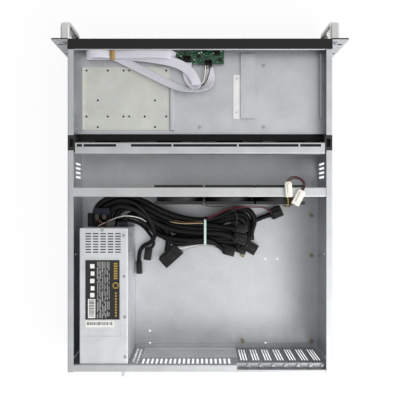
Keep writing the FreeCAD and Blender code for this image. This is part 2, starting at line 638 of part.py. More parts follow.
def make_drive_brackets():
    low = SHELF_TOP_Z + THIN_SHEET / 2
    foot = BRACKET_X - BRACKET_FOOT
    high = low + BRACKET_RISE
    ledge, begin, end = (FRONT + y for y in BRACKET_Y)
    left = folded([(BRACKET_X, low), (foot, low), (foot, high), (foot - BRACKET_LEDGE, high)],
                  THIN_SHEET, in_xz(ledge), (0, end - ledge, 0), 0.4)
    tools = [block((foot + 1.2, BRACKET_X + 1), (ledge - 1, begin), (0, HEIGHT))]
    tools += [rod(PLATE_HOLE, (BRACKET_X - BRACKET_FOOT / 2, FRONT + y, SHELF_TOP_Z - 1), 4, (0, 0, 1))
              for y in BRACKET_SCREWS]
    save("optical_bracket", left.cut(tools))
    outer, inner = DRIVE_RAIL_X
    right = folded([(outer, low), (inner, low), (inner, low + DRIVE_RAIL_RISE)], THIN_SHEET,
                   in_xz(FRONT + DRIVE_RAIL_Y[0]), (0, DRIVE_RAIL_Y[1] - DRIVE_RAIL_Y[0], 0), 0.4)
    save("optical_rail", right.cut([rod(PLATE_HOLE, (outer + 3.5, FRONT + y, SHELF_TOP_Z - 1), 4, (0, 0, 1))
                                    for y in DRIVE_RAIL_SCREWS]))


def make_drive_blank():
    fit = 0.3
    x = (DRIVE_SLOT_X - DRIVE_SLOT_WIDTH / 2 + fit, DRIVE_SLOT_X + DRIVE_SLOT_WIDTH / 2 - fit)
    z = (DRIVE_SLOT_Z + fit, DRIVE_SLOT_Z + DRIVE_SLOT_HEIGHT - fit)
    face = block(x, (FRONT - 1.0, PANEL_BACK + 7), z)
    flange = block((x[0] - 1.2, x[1] + 1.2), (PANEL_BACK, PANEL_BACK + 1.2), (z[0] - 1.2, z[1] + 1.2))
    hollow = block((x[0] + 1.5, x[1] - 1.5), (FRONT + 1.0, PANEL_BACK + 8), (z[0] + 1.5, z[1] - 1.5))
    save("drive_slot_blank", joined([face, flange]).cut(hollow))


HEADERS = ((21.5, 26.0, 13.0), (-13.8, 33.0, 12.4))      # X, depth behind the panel's face, width


def make_control_board():
    y = (PANEL_BACK + 1.5, PANEL_BACK + 1.5 + BOARD_DEPTH)
    board = block((-BOARD_WIDTH / 2, BOARD_WIDTH / 2), y, (BOARD_Z, BOARD_Z + BOARD_SHEET))
    legs = [rod(2.2, (side * (BOARD_WIDTH / 2 - 5), y[1] - 5 - 20 * k, SHELF_TOP_Z),
                BOARD_Z - SHELF_TOP_Z, (0, 0, 1))
            for side in (1, -1) for k in (0, 1)]
    top = BOARD_Z + BOARD_SHEET
    parts = [joined([board] + legs)]
    for x in PORT_X:
        shell = block((x - PORT_WIDTH / 2, x + PORT_WIDTH / 2), (FRONT + 0.5, FRONT + 19.0),
                      (top, top + PORT_HEIGHT))
        mouth = block((x - PORT_WIDTH / 2 + 0.8, x + PORT_WIDTH / 2 - 0.8), (FRONT - 1, FRONT + 12.0),
                      (top + 0.8, top + PORT_HEIGHT - 0.8))
        tongue = block((x - 5.5, x + 5.5), (FRONT + 1.5, FRONT + 12.0), (top + 3.6, top + 5.2))
        parts.append(joined([shell.cut(mouth), tongue]))
    for x, depth, width in HEADERS:
        shell = block((x - width / 2, x + width / 2), (FRONT + depth, FRONT + depth + 9.0), (top, top + 8.5))
        well = block((x - width / 2 + 1, x + width / 2 - 1), (FRONT + depth + 1, FRONT + depth + 8.0),
                     (top + 2, top + 9))
        parts.append(shell.cut(well))
    save("control_board", *parts)


def make_button(node, button):
    x, z, radius = button
    cap = rod(radius, (x, FRONT - 1.5, z), PANEL_SHEET + 4.0, (0, 1, 0))
    collar = rod(radius + 0.8, (x, PANEL_BACK + 0.1, z), 1.0, (0, 1, 0))
    save(node, joined([cap, collar]))


# --- lid rail and its end blocks ----------------------------------------------------------

LID_SLOT_BRIDGES = ((190.0, 2.4), (124.0, 24.0), (44.7, 2.4), (-61.3, 2.4), (-161.0, 2.4))   # X and width


def make_lid_rail():
    half = THIN_SHEET / 2
    front, back, top = LID_RAIL_FRONT + half, LID_RAIL_FRONT + LID_RAIL_WIDTH - half, HEIGHT - half
    rail = folded([(front, top - LID_RAIL_DEPTH), (front, top), (back, top), (back, top - LID_RAIL_DEPTH)],
                  THIN_SHEET, in_yz(-LID_RAIL_END), (2 * LID_RAIL_END, 0, 0))
    tools = []
    right = LID_RAIL_END - 2.7
    for x, width in LID_SLOT_BRIDGES + ((6.2 - LID_RAIL_END, 0.0),):
        tools.append(block((x + width / 2, right), (LID_RAIL_FRONT + 2.6, LID_RAIL_FRONT + 7.0),
                           (top - 2, top + 2)))
        right = x - width / 2
    save("lid_rail", rail.cut(tools))


def make_rail_ends():
    blocks = []
    back, top = CATCH_FRONT + CATCH_LENGTH, HEIGHT - 1.5
    for side in (1, -1):
        inner, outer = side * LID_RAIL_END, side * WALL_X
        body = block(sorted((inner, outer)), (CATCH_FRONT, back), (HEIGHT - CATCH_HEIGHT, top))
        hook = block(sorted((outer, side * BODY_WIDTH / 2)), (CATCH_FRONT + TRAY_GAP, back - TRAY_GAP),
                     (HEIGHT - CATCH_HEIGHT / 2 + TRAY_GAP, top))
        well = block(sorted((side * (LID_RAIL_END + 3), side * (WALL_X - 2))),
                     (CATCH_FRONT + 6, back - 6), (HEIGHT - 10, HEIGHT))
        blocks.append(joined([body, hook]).cut(well))
    save("lid_rail_ends", *blocks)


# --- fans ---------------------------------------------------------------------------------

FRAME_FLANGE = 5.0
ROTOR_GAP = 1.2
STRUT = 3.0


def fan_frame(x, y, z, size, depth, bore, hub):
    """A square fan housing with its face at y: two flanges, a round shroud, and a strutted motor seat."""
    centre = (x, y, z)
    flanges = [block((x - size / 2, x + size / 2), (a, a + FRAME_FLANGE), (z - size / 2, z + size / 2))
               for a in (y, y + depth - FRAME_FLANGE)]
    shroud = rod(min(bore + 1.6, size / 2), centre, depth, (0, 1, 0))
    body = joined(flanges + [shroud])
    inset = size / 2 - 4.25 * size / 80
    holes = [rod(2.1 * size / 80, (x + a * inset, y - 1, z + b * inset), depth + 2, (0, 1, 0))
             for a in (1, -1) for b in (1, -1)]
    body = body.cut([rod(bore, (x, y - 1, z), depth + 2, (0, 1, 0))] + holes)
    seat_y = y + depth - STRUT
    seat = [rod(hub, (x, seat_y, z), STRUT, (0, 1, 0))]
    for i in range(4):
        arm = block((x + hub - 2, x + bore + 0.6), (seat_y, seat_y + STRUT), (z - 1.5, z + 1.5))
        arm.rotate(Vector(x, y, z), Vector(0, 1, 0), 45 + 90 * i)
        seat.append(arm)
    return joined([body] + seat)


def fan_rotor(x, y, z, depth, bore, hub, blades):
    """Hub and twisted blades."""
    begin, end = y + 2.0, y + depth - STRUT - 0.3
    parts = [rod(hub, (x, begin, z), end - begin, (0, 1, 0))]
    tip = bore - ROTOR_GAP
    for i in range(blades):
        sections = []
        for radius, lean, width in ((hub - 1.0, 30.0, 0.5), (tip, 52.0, 0.62)):
            run = (end - begin - 5.0) * width * 1.4
            dy, dx = math.cos(math.radians(lean)) * run / 2, math.sin(math.radians(lean)) * run / 2
            middle = (begin + end) / 2 - 1.0
            thick = 0.9
            ring = [(-dx - thick, middle - dy), (dx - thick, middle + dy), (dx + thick, middle + dy),
                    (-dx + thick, middle - dy)]
            corners = [Vector(x + radius, b, z + a) for a, b in ring]
            sections.append(Part.makePolygon(corners + corners[:1]))
        blade = Part.makeLoft(sections, True, True)
        blade.rotate(Vector(x, y, z), Vector(0, 1, 0), 360.0 * i / blades)
        parts.append(blade)
    rotor = joined(parts)
    return rotor.common(rod(tip, (x, begin, z), end - begin, (0, 1, 0)))


def fan_x(i):
    return FAN_MIDDLE_X + (1 - i) * FAN_PITCH


def make_fans():
    y, z = FRONT + FAN_FRONT, FAN_LOW_Z + FAN_SIZE / 2
    for i in range(3):
        save(f"fan_frame_{i + 1}", fan_frame(fan_x(i), y, z, FAN_SIZE, FAN_DEPTH, FAN_BORE, FAN_HUB))
        save(f"fan_rotor_{i + 1}", fan_rotor(fan_x(i), y, z, FAN_DEPTH, FAN_BORE, FAN_HUB, FAN_BLADES))
    half = THIN_SHEET / 2
    front = FRONT + FAN_BAR_FRONT
    back = front + FAN_BAR_WIDTH
    bar = folded([(front + half, FAN_TOP_Z), (front + half, CEILING - half), (back - half, CEILING - half),
                  (back - half, FAN_TOP_Z)],
                 THIN_SHEET, in_yz(BEND - WALL_X), (2 * (WALL_X - BEND), 0, 0))
    save("fan_bar", bar)


# --- power supply -------------------------------------------------------------------------

def make_power_supply():
    x = (PSU_X - PSU_WIDTH / 2, PSU_X + PSU_WIDTH / 2)
    y = (REAR_WALL_IN - PSU_LENGTH, REAR_WALL_IN)
    z = (SHEET, SHEET + PSU_HEIGHT)
    s = PSU_SHEET
    cover = folded([(x[0] + s / 2, z[0] + s), (x[0] + s / 2, z[1] - s / 2), (x[1] - s / 2, z[1] - s / 2),
                    (x[1] - s / 2, z[0] + s)], s, in_xz(y[0] + s), (0, PSU_LENGTH - 2 * s, 0))
    tools = []
    for column in range(5):
        for row in range(8):
            cx, cy = x[1] - 14.5 - 12.1 * column, y[0] + 9.0 + 4.3 * row
            tools.append(block((cx - 4.5, cx + 4.5), (cy - 0.9, cy + 0.9), (z[1] - 2, z[1] + 1)))
    for row in range(8):
        for column in range(3):
            cy, cz = y[0] + 9.0 + 4.3 * row, z[1] - 16.0 - 14.0 * column
            tools.append(block((x[0] - 1, x[0] + 2), (cy - 0.9, cy + 0.9), (cz - 5, cz + 5)))
    save("psu_cover", cover.cut(tools))
    near, far, low, high = y[0] + s / 2, y[1] - s / 2, z[0] + s / 2, z[1] - s - 0.1
    base = folded([(near, high), (near, low), (far, low), (far, high)], s, in_yz(x[0] + s + 0.1),
                  (PSU_WIDTH - 2 * s - 0.2, 0, 0))
    inlet_z = z[0] + 8 + INLET_HEIGHT / 2
    fan_z = (inlet_z + INLET_HEIGHT / 2 + z[1]) / 2
    cuts = [block((PSU_X - INLET_WIDTH / 2, PSU_X + INLET_WIDTH / 2), (y[1] - 2, y[1] + 1),
                  (inlet_z - INLET_HEIGHT / 2, inlet_z + INLET_HEIGHT / 2)),
            block((PSU_X - 27, PSU_X + 27), (y[0] - 1, y[0] + 2), (z[0] + 22, z[0] + 44))]
    for ring_radius, count in ((6.0, 6), (12.0, 12), (17.5, 16)):
        for i in range(count):
            turn = 2 * math.pi * i / count
            cuts.append(hexagon_hole(4.8, (PSU_X + ring_radius * math.cos(turn), y[1] - 2,
                                           fan_z + ring_radius * math.sin(turn)), (0, 1, 0), 4))
    tab = [block((x[0] + 7.3, x[0] + 11.3), (y[1], REAR + TAB_REACH), (z[1] - 16, z[1] - 6)),
           block((x[0] + 7.3, x[0] + 19.3), (y[1], y[1] + 1), (z[1] - 16, z[1] - 6))]
    save("psu_base", joined([base.cut(cuts)] + tab))
    fan_y = y[1] - s - PSU_FAN_DEPTH
    bore, hub = 0.475 * PSU_FAN_SIZE, 0.25 * PSU_FAN_SIZE
    save("psu_fan_frame", fan_frame(PSU_X, fan_y, fan_z, PSU_FAN_SIZE, PSU_FAN_DEPTH, bore, hub))
    save("psu_fan_rotor", fan_rotor(PSU_X, fan_y, fan_z, PSU_FAN_DEPTH, bore, hub, 7))
    half_w, half_h = INLET_WIDTH / 2 - 0.3, INLET_HEIGHT / 2 - 0.3
    shell = joined([block((PSU_X - half_w, PSU_X + half_w), (y[1] - 18, y[1] + 1.5),
                          (inlet_z - half_h, inlet_z + half_h)),
                    block((PSU_X - half_w - 2, PSU_X + half_w + 2), (y[1], y[1] + 1.5),
                          (inlet_z - half_h - 2, inlet_z + half_h + 2))])
    well = block((PSU_X - 12, PSU_X + 12), (y[1] - 14, y[1] + 2), (inlet_z - 8, inlet_z + 8))
    blades = [block((PSU_X + a - 1, PSU_X + a + 1), (y[1] - 15, y[1] - 2),
                    (inlet_z + b - 2, inlet_z + b + 2)) for a, b in ((-7, -1.5), (7, -1.5), (0, 3))]
    save("psu_inlet", joined([shell.cut(well)] + blades))


# --- cables -------------------------------------------------------------------------------

# Each route lists the corners of the cable's middle line, and each corner is rounded by the
# largest arc that its two runs allow.

BOARD_POWER = [(150, 36.6, 34), (148, 16, 36), (131, 4, 37), (106, 5, 33), (86, 18, 27), (70, 35, 20),
               (57, 51, 13), (54, 67, 9), (53, 84, 8)]
CPU_POWER = [(164, 36.6, 34), (167, 16, 39), (156, -3, 45), (131, -10, 48), (107, -1, 46), (91, 17, 40),
             (81, 39, 31), (80, 58, 17), (89, 68, 9), (103, 74, 6), (111, 87, 5.5), (110.5, 102.5, 5.5)]
DRIVE_POWER = [(179.8, 37.9, 34), (184, 14, 36), (170, -6, 36), (142, -15, 34), (114, -10, 30), (88, 4, 26),
               (60, 20, 22), (27, 32, 20), (-9, 40, 18), (-36, 40, 17), (-57, 38, 17)]
SATA_POWER = [(136, 36.6, 30), (132, 20, 21), (111, 12, 12), (84, 22, 8), (62, 42, 6.5), (30, 54, 6.5),
              (-9, 58, 6.5), (-45, 55, 6.5), (-77, 43, 7), (-104, 28, 8), (-128, 18, 9)]
RIBBON_WIDTH = 15.0
RIBBON_SHEET = 1.2
RIBBON_A = [(188, -252), (128, -251), (72, -244), (48, -234), (24, -222), (7, -204)]
RIBBON_A_RETURN = [(6, -201), (14, -212), (21, -225), (21.5, -234.8)]
RIBBON_B = [(146, -249), (108, -240), (72, -229), (40, -206), (14, -196), (-12, -201), (-13.8, -226)]


def make_cord(node, route, radius):
    """A plain tube along a route, with the largest arcs that fit."""
    corners = [Vector(*p) for p in route]
    edges, last, length, tightest = [], corners[0], 0.0, 999.0
    for before, corner, after in zip(corners, corners[1:], corners[2:]):
        come, go = (corner - before), (after - corner)
        reach = 0.45 * min(come.Length, go.Length)
        turn = come.getAngle(go)
        come.normalize()
        go.normalize()
        bend = reach / math.tan(turn / 2)
        tightest = min(tightest, bend)
        begin, end = corner - come * reach, corner + go * reach
        centre = corner + (go - come).normalize() * (bend / math.cos(turn / 2))
        middle = centre + (corner - centre).normalize() * bend
        edges += [Part.LineSegment(last, begin).toShape(), Part.Arc(begin, middle, end).toShape()]
        length += begin.distanceToPoint(last) + bend * turn
        last = end
    edges.append(Part.LineSegment(last, corners[-1]).toShape())
    length += corners[-1].distanceToPoint(last)
    ring = Part.Wire(Part.makeCircle(radius, corners[0], corners[1] - corners[0]))
    tube = Part.Wire(edges).makePipeShell([ring], True, False)
    share = tube.Volume / (math.pi * radius ** 2 * length)
    print(f"{node}: {length:.0f} mm long, tightest bend {tightest:.0f} mm, volume share {share:.4f}")
    save(node, tube)


def make_cords():
    make_cord("board_power_cable", BOARD_POWER, 5.0)
    make_cord("cpu_power_cable", CPU_POWER, 3.5)
    make_cord("drive_power_cable", DRIVE_POWER, 4.0)
    make_cord("sata_power_cable", SATA_POWER, 4.0)
    low = SHELF_TOP_Z + THIN_SHEET
    save("ribbon_cable_1", folded(RIBBON_A, RIBBON_WIDTH, in_xy(low + 6.0), (0, 0, RIBBON_SHEET), 3.0),
         folded(RIBBON_A_RETURN, RIBBON_WIDTH, in_xy(low + 6.0 - RIBBON_SHEET), (0, 0, RIBBON_SHEET), 2.0))
    save("ribbon_cable_2", folded(RIBBON_B, RIBBON_WIDTH, in_xy(low + 0.4), (0, 0, RIBBON_SHEET), 3.0))


def plug(length, width, height, place, turn, wells):
    """A plug lying at place, its mouth along +Y before it is turned, with a row of wells in the mouth."""
    body = block((-width / 2, width / 2), (0, length), (0, height))
    step = width / wells
    cuts = [block((-width / 2 + i * step + 0.8, -width / 2 + (i + 1) * step - 0.8), (length - 7, length + 1),
                  (0.9, height - 0.9)) for i in range(wells)]
    body = body.cut(cuts)
    body.rotate(Vector(0, 0, 0), Vector(0, 0, 1), turn)
    body.translate(Vector(*place))
    return body


def make_plugs():
    black = [
        plug(24, 34, 14, (52.5, 85.5, SHEET), -4, 6),
        plug(21, 13, 9, (92.5, 79, SHEET), -8, 2),
        plug(22, 10, 8, (110.4, 102.8, SHEET), 2, 2),
        plug(27, 20, 9, (-57.4, 38, SHEET + 11.2), 90, 4),
        plug(26, 20, 9, (-79, 70, SHEET), 60, 4),
        plug(20, 14, 9, (-43, 82, SHEET), 75, 2),
        plug(20, 20, 8, (-128.4, 17.7, SHEET + 3.5), 113, 4),
    ]
    save("power_plugs", *black)
    low = CEILING
    white = [plug(23, 11, 8, (-142, -36, low), 4, 2), plug(24, 13, 8, (-164, -22, low), -28, 2)]
    save("fan_plugs", *white)
    x = -9.0
    save("cable_tie", rounded_tie(x, (21, 71), (SHEET, 31), 9.0).cut(
        rounded_tie(x, (22.2, 69.8), (SHEET + 1.0, 29.8), 8.0)))


def rounded_tie(x, y, z, corner):
    body = block((x - 2, x + 2), y, z)
    return body.makeFillet(corner, [e for e in body.Edges if e.BoundBox.XLength > 1])


# --- standoffs and screws -----------------------------------------------------------------

def standoff_places():
    for column in range(2):
        for row in BOARD_HOLE_ROWS:
            yield BOARD_COLUMN_X + column * BOARD_HOLE_COLUMNS, REAR_WALL_IN - BOARD_EDGE - row


def make_standoffs():
    posts = []
    for x, y in standoff_places():
        post = rod(STANDOFF_RADIUS, (x, y, SHEET), STANDOFF_HEIGHT, (0, 0, 1))
        posts.append(post.cut(rod(1.6, (x, y, SHEET + 1), STANDOFF_HEIGHT, (0, 0, 1))))
    save("board_standoffs", *posts)


def make_screws():
    heads = []
    for i in range(SLOT_COUNT):
        place = (slot_x(i) - 5.5, REAR_WALL + 3.4, SLOT_LEDGE_Z + COVER_SHEET)
        heads.append(rod(2.9, place, 2.0, (0, 0, 1)))
    for side in (1, -1):
        low = (HEIGHT - HANDLE_HEIGHT) / 2 + HANDLE_BAR / 2
        for z in (low, HEIGHT - low):
            heads.append(rod(3.5, (side * (BODY_WIDTH / 2 + 8.7), PANEL_BACK + SHEET, z), 2.4, (0, 1, 0)))
    for x in (0.0, -BAY_PITCH):
        for level in (38.7, SHELF_DEPTH - 11.7):
            heads.append(rod(2.8, (x, FRONT + level, SHELF_TOP_Z), 1.4, (0, 0, 1)))
    save("screws", *heads)


os.makedirs("parts", exist_ok=True)
make_chassis()
make_rear_panel()
make_io_shield()
make_slot_covers()
make_front_panel()
make_handle("handle_right", 1)
make_handle("handle_left", -1)
make_bay_dividers()
make_shelf()
make_air_seal()
make_backplane()
for row in range(ROWS):
    for column in range(COLUMNS):
        make_tray(column, row)
        make_lever(column, row)
make_drive_plate()
make_drive_brackets()
make_drive_blank()
make_control_board()
make_button("power_button", POWER_BUTTON)
make_button("reset_button", RESET_BUTTON)
make_lid_rail()
make_rail_ends()
make_fans()
make_power_supply()
make_cords()
make_plugs()
make_standoffs()
make_screws()
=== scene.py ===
import math
import random

import bpy
from mathutils import Matrix, Vector


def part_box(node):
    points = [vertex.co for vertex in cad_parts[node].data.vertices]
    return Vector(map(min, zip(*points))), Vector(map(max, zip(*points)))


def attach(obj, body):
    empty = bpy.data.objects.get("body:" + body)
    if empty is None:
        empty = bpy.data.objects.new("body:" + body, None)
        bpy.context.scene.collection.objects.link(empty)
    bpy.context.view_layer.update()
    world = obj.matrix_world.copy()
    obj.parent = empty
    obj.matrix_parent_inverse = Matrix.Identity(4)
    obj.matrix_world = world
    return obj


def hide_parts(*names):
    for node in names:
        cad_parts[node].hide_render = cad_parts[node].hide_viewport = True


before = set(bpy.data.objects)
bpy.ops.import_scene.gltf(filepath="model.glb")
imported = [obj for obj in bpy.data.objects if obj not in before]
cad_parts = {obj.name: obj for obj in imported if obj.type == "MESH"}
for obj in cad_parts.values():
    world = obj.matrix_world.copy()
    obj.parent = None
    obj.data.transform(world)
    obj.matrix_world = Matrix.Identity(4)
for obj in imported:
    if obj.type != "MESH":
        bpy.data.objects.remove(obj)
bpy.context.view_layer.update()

# --- Table, light and camera --------------------------------------------------------------
# The case lies open on a white table in a white room, whose walls are brighter on the side where
# one large soft box stands. The camera hangs over its middle, front panel at the top of the frame.

scene = bpy.context.scene
scene.view_settings.view_transform = "Standard"


def colour(hex_code, strength=1.0):
    """An sRGB hex colour as linear red, green, blue and alpha."""
    parts = [int(hex_code[i:i + 2], 16) / 255 for i in (1, 3, 5)]
    linear = [p / 12.92 if p <= 0.04045 else ((p + 0.055) / 1.055) ** 2.4 for p in parts]
    return [p * strength for p in linear] + [1.0]


def add(tree, kind, inputs=None, **settings):
    """One shader node, its settings, and what goes into its sockets: a value or another node's output."""
    shader = tree.nodes.new("ShaderNode" + kind)
    for name, value in settings.items():
        setattr(shader, name, value)
    for socket, value in (inputs or {}).items():
        if isinstance(value, bpy.types.NodeSocket):
            tree.links.new(value, shader.inputs[socket])
        else:
            shader.inputs[socket].default_value = value
    return shader


world = bpy.data.worlds.new("white_room")
scene.world = world
world.use_nodes = True
tree = world.node_tree
tree.nodes.clear()
ray = add(tree, "LightPath")
aim = add(tree, "SeparateXYZ", {0: add(tree, "TexCoord").outputs["Generated"]})
lean = add(tree, "Math", {0: aim.outputs["X"], 1: 3.0}, operation="POWER")
wall = 0.73          # past this lean to one side the room has one even brightness
lit_wall, far_wall, far_wall_mirrored = 1.42, 0.14, 0.15
diffuse_side = add(tree, "MapRange", {"Value": lean.outputs[0], "From Min": -wall, "From Max": wall,
                                      "To Min": lit_wall, "To Max": far_wall})
mirror_side = add(tree, "MapRange", {"Value": lean.outputs[0], "From Min": -wall, "From Max": wall,
                                     "To Min": lit_wall, "To Max": far_wall_mirrored})
mirrored = add(tree, "Math", {0: ray.outputs["Is Glossy Ray"], 1: ray.outputs["Is Transmission Ray"]},
               operation="MAXIMUM")
level = add(tree, "Mix", {0: mirrored.outputs[0], 2: diffuse_side.outputs[0], 3: mirror_side.outputs[0]})
level = add(tree, "Mix", {0: ray.outputs["Is Camera Ray"], 2: level.outputs[0], 3: 1.0})
room = add(tree, "Background", {"Color": colour("#ffffff"), "Strength": level.outputs[0]})
add(tree, "OutputWorld", {"Surface": room.outputs[0]})

soft_box = bpy.data.lights.new("soft_box", "AREA")
soft_box.shape = "RECTANGLE"
soft_box.size = 2.2
soft_box.size_y = 1.6
soft_box.energy = 46.0
lamp = bpy.data.objects.new("soft_box", soft_box)
scene.collection.objects.link(lamp)
lamp.location = (-1.5, 1.5, 2.0)
case_middle = Vector((0, 0, 0.05))
lamp.rotation_euler = (case_middle - lamp.location).to_track_quat("-Z", "Y").to_euler()

bpy.ops.object.select_all(action="DESELECT")
bpy.ops.mesh.primitive_plane_add(size=6)
table = bpy.context.object
table.name = "studio_table"
paper = bpy.data.materials.new("white_paper")
paper.use_nodes = True
tree = paper.node_tree
tree.nodes.clear()
ray = add(tree, "LightPath")
matte = add(tree, "BsdfDiffuse", {"Color": colour("#fcfcfc")})
glow = add(tree, "Emission", {"Color": colour("#ffffff"), "Strength": 1.0})
white_share = 0.9    # of what the camera sees of the table; the rest is matte paper with its shadows
share = add(tree, "Math", {0: ray.outputs["Is Camera Ray"], 1: white_share}, operation="MULTIPLY")
mixed = add(tree, "MixShader", {0: share.outputs[0], 1: matte.outputs[0], 2: glow.outputs[0]})
add(tree, "OutputMaterial", {"Surface": mixed.outputs[0]})
table.data.materials.append(paper)

camera = bpy.data.objects.new("camera", bpy.data.cameras.new("camera"))
scene.collection.objects.link(camera)
scene.camera = camera
camera.data.lens = 39.59
camera.data.sensor_width = 36
camera.location = (0, -0.0084, 0.8011)
camera.rotation_euler = (0, 0, math.pi)

# --- Folded sheet metal -------------------------------------------------------------------
# The tub, rear wall, cage rails, shelf, brackets, cross rails and power supply box are cold-rolled
# steel with a zinc coat, folded and riveted: a satin grey with faint cloudy patches and rolling lines.


def finish(name):
    """A new material with a Principled surface; returns the material, its node tree and the surface node."""
    material = bpy.data.materials.new(name)
    material.use_nodes = True
    tree = material.node_tree
    return material, tree, tree.nodes["Principled BSDF"]


def zinc_coat(name, hex_code, roughness, lean=(1.0, 0.12, 1.0)):
    """Zinc-coated sheet: 30 mm clouds, 2 mm spangle and 1.4 mm rolling lines, drawn coarse enough to show."""
    material, tree, surface = finish(name)
    place = add(tree, "TexCoord").outputs["Object"]
    clouds = add(tree, "TexNoise", {"Vector": place, "Scale": 1 / 0.030, "Detail": 4.0})
    spangle = add(tree, "TexVoronoi", {"Vector": place, "Scale": 1 / 0.002})
    stretched = add(tree, "Mapping", {"Vector": place, "Scale": lean})
    lines = add(tree, "TexNoise", {"Vector": stretched.outputs[0], "Scale": 1 / 0.0014, "Detail": 2.0})
    tone = add(tree, "ValToRGB", {"Fac": clouds.outputs["Fac"]})
    tone.color_ramp.elements[0].position = 0.32
    tone.color_ramp.elements[0].color = colour(hex_code, 0.93)
    tone.color_ramp.elements[1].position = 0.68
    tone.color_ramp.elements[1].color = colour(hex_code, 1.04)
    grains = add(tree, "MixRGB", {0: 0.05, 1: tone.outputs[0], 2: spangle.outputs["Color"]},
                 blend_type="OVERLAY")
    tree.links.new(grains.outputs[0], surface.inputs["Base Color"])
    gloss = add(tree, "MapRange", {"Value": clouds.outputs["Fac"], "To Min": roughness - 0.06,
                                   "To Max": roughness + 0.06})
    tree.links.new(gloss.outputs[0], surface.inputs["Roughness"])
    surface.inputs["Metallic"].default_value = 1.0
    bump = add(tree, "Bump", {"Strength": 0.08, "Distance": 0.0002, "Height": lines.outputs["Fac"]})
    tree.links.new(bump.outputs[0], surface.inputs["Normal"])
    return material


def dress(material, *names):
    """Gives CAD nodes a material."""
    for name in names:
        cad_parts[name].data.materials.clear()
        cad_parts[name].data.materials.append(material)


def dress_part(material, name, inside):
    """Gives a material to those faces of a CAD node whose centre passes a test, in millimetres."""
    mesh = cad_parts[name].data
    mesh.materials.append(material)
    for face in mesh.polygons:
        if inside(*(face.center * 1000)):
            face.material_index = len(mesh.materials) - 1


galvanised = zinc_coat("galvanised_sheet_steel", "#c8cacc", 0.55)
dress(galvanised, "chassis", "rear_panel", "bay_dividers", "shelf", "lid_rail", "drive_plate_rail",
      "optical_rail", "optical_bracket")
dress(zinc_coat("cover_sheet_steel", "#a6a8aa", 0.5), "slot_covers")
# Painted highlight: one strip of the optical bracket gets a far lighter copy of the same zinc coat.
bracket_strip_highlight_steel = zinc_coat("bracket_sheet_steel_painted_highlight", "#f2f2f0", 0.5)
bracket_highlight_edge = -67
dress_part(bracket_strip_highlight_steel, "optical_bracket", lambda x, y, z: x > bracket_highlight_edge)
drive_plate_steel = zinc_coat("drive_plate_sheet_steel", "#d6d8d2", 0.55)
dress(drive_plate_steel, "drive_plate")
bar_steel = zinc_coat("fan_bar_sheet_steel", "#d0d1d2", 0.42)
dress(bar_steel, "fan_bar")
psu_steel = zinc_coat("power_supply_sheet_steel", "#dcdee0", 0.62)
dress(psu_steel, "psu_cover", "psu_base")
shield_steel = zinc_coat("shield_sheet_steel", "#ececec", 0.6)
dress(shield_steel, "io_shield")

# --- Front panel and handles --------------------------------------------------------------
# A 2 mm steel panel with a folded-back top lip, powder coated black, and two handles bent from
# aluminium bar with a silver anodised finish, each held from behind by two screws.


def powder_coat(name, hex_code, roughness):
    """Powder coat: a nearly even colour with a 0.8 mm orange-peel texture."""
    material, tree, surface = finish(name)
    surface.inputs["Specular IOR Level"].default_value = 0.3
    place = add(tree, "TexCoord").outputs["Object"]
    peel = add(tree, "TexNoise", {"Vector": place, "Scale": 1 / 0.0008, "Detail": 2.0})
    wide = add(tree, "TexNoise", {"Vector": place, "Scale": 1 / 0.05, "Detail": 2.0})
    tone = add(tree, "ValToRGB", {"Fac": wide.outputs["Fac"]})
    tone.color_ramp.elements[0].color = colour(hex_code, 0.9)
    tone.color_ramp.elements[1].color = colour(hex_code, 1.12)
    tree.links.new(tone.outputs[0], surface.inputs["Base Color"])
    surface.inputs["Roughness"].default_value = roughness
    bump = add(tree, "Bump", {"Strength": 0.25, "Distance": 0.0002, "Height": peel.outputs["Fac"]})
    tree.links.new(bump.outputs[0], surface.inputs["Normal"])
    return material


black_coat = powder_coat("black_powder_coat", "#161617", 0.5)
dress(black_coat, "front_panel")
silver = zinc_coat("silver_anodised_aluminium", "#dededc", 0.22, (0.3, 1.0, 0.3))
dress(silver, "handle_right", "handle_left")

# --- Moulded black plastic ----------------------------------------------------------------
# Trays, levers, the drive slot's blank, the lid rail's end blocks, fans and plugs are moulded ABS
# and nylon with a spark-eroded texture. The seal behind the shelf is black foam, the tie mint nylon.


def moulded(name, hex_code, roughness, grit=0.0009, shine=0.5):
    """Moulded plastic: spark-eroded grit, drawn coarse enough to show, and slightly uneven gloss."""
    material, tree, surface = finish(name)
    surface.inputs["Specular IOR Level"].default_value = shine
    place = add(tree, "TexCoord").outputs["Object"]
    grain = add(tree, "TexNoise", {"Vector": place, "Scale": 1 / grit, "Detail": 2.0})
    flow = add(tree, "TexNoise", {"Vector": place, "Scale": 1 / 0.018, "Detail": 2.0})
    tone = add(tree, "ValToRGB", {"Fac": flow.outputs["Fac"]})
    tone.color_ramp.elements[0].color = colour(hex_code, 0.85)
    tone.color_ramp.elements[1].color = colour(hex_code, 1.15)
    tree.links.new(tone.outputs[0], surface.inputs["Base Color"])
    gloss = add(tree, "MapRange", {"Value": flow.outputs["Fac"], "To Min": roughness - 0.07,
                                   "To Max": roughness + 0.07})
    tree.links.new(gloss.outputs[0], surface.inputs["Roughness"])
    bump = add(tree, "Bump", {"Strength": 0.2, "Distance": 0.0001, "Height": grain.outputs["Fac"]})
    tree.links.new(bump.outputs[0], surface.inputs["Normal"])
    return material


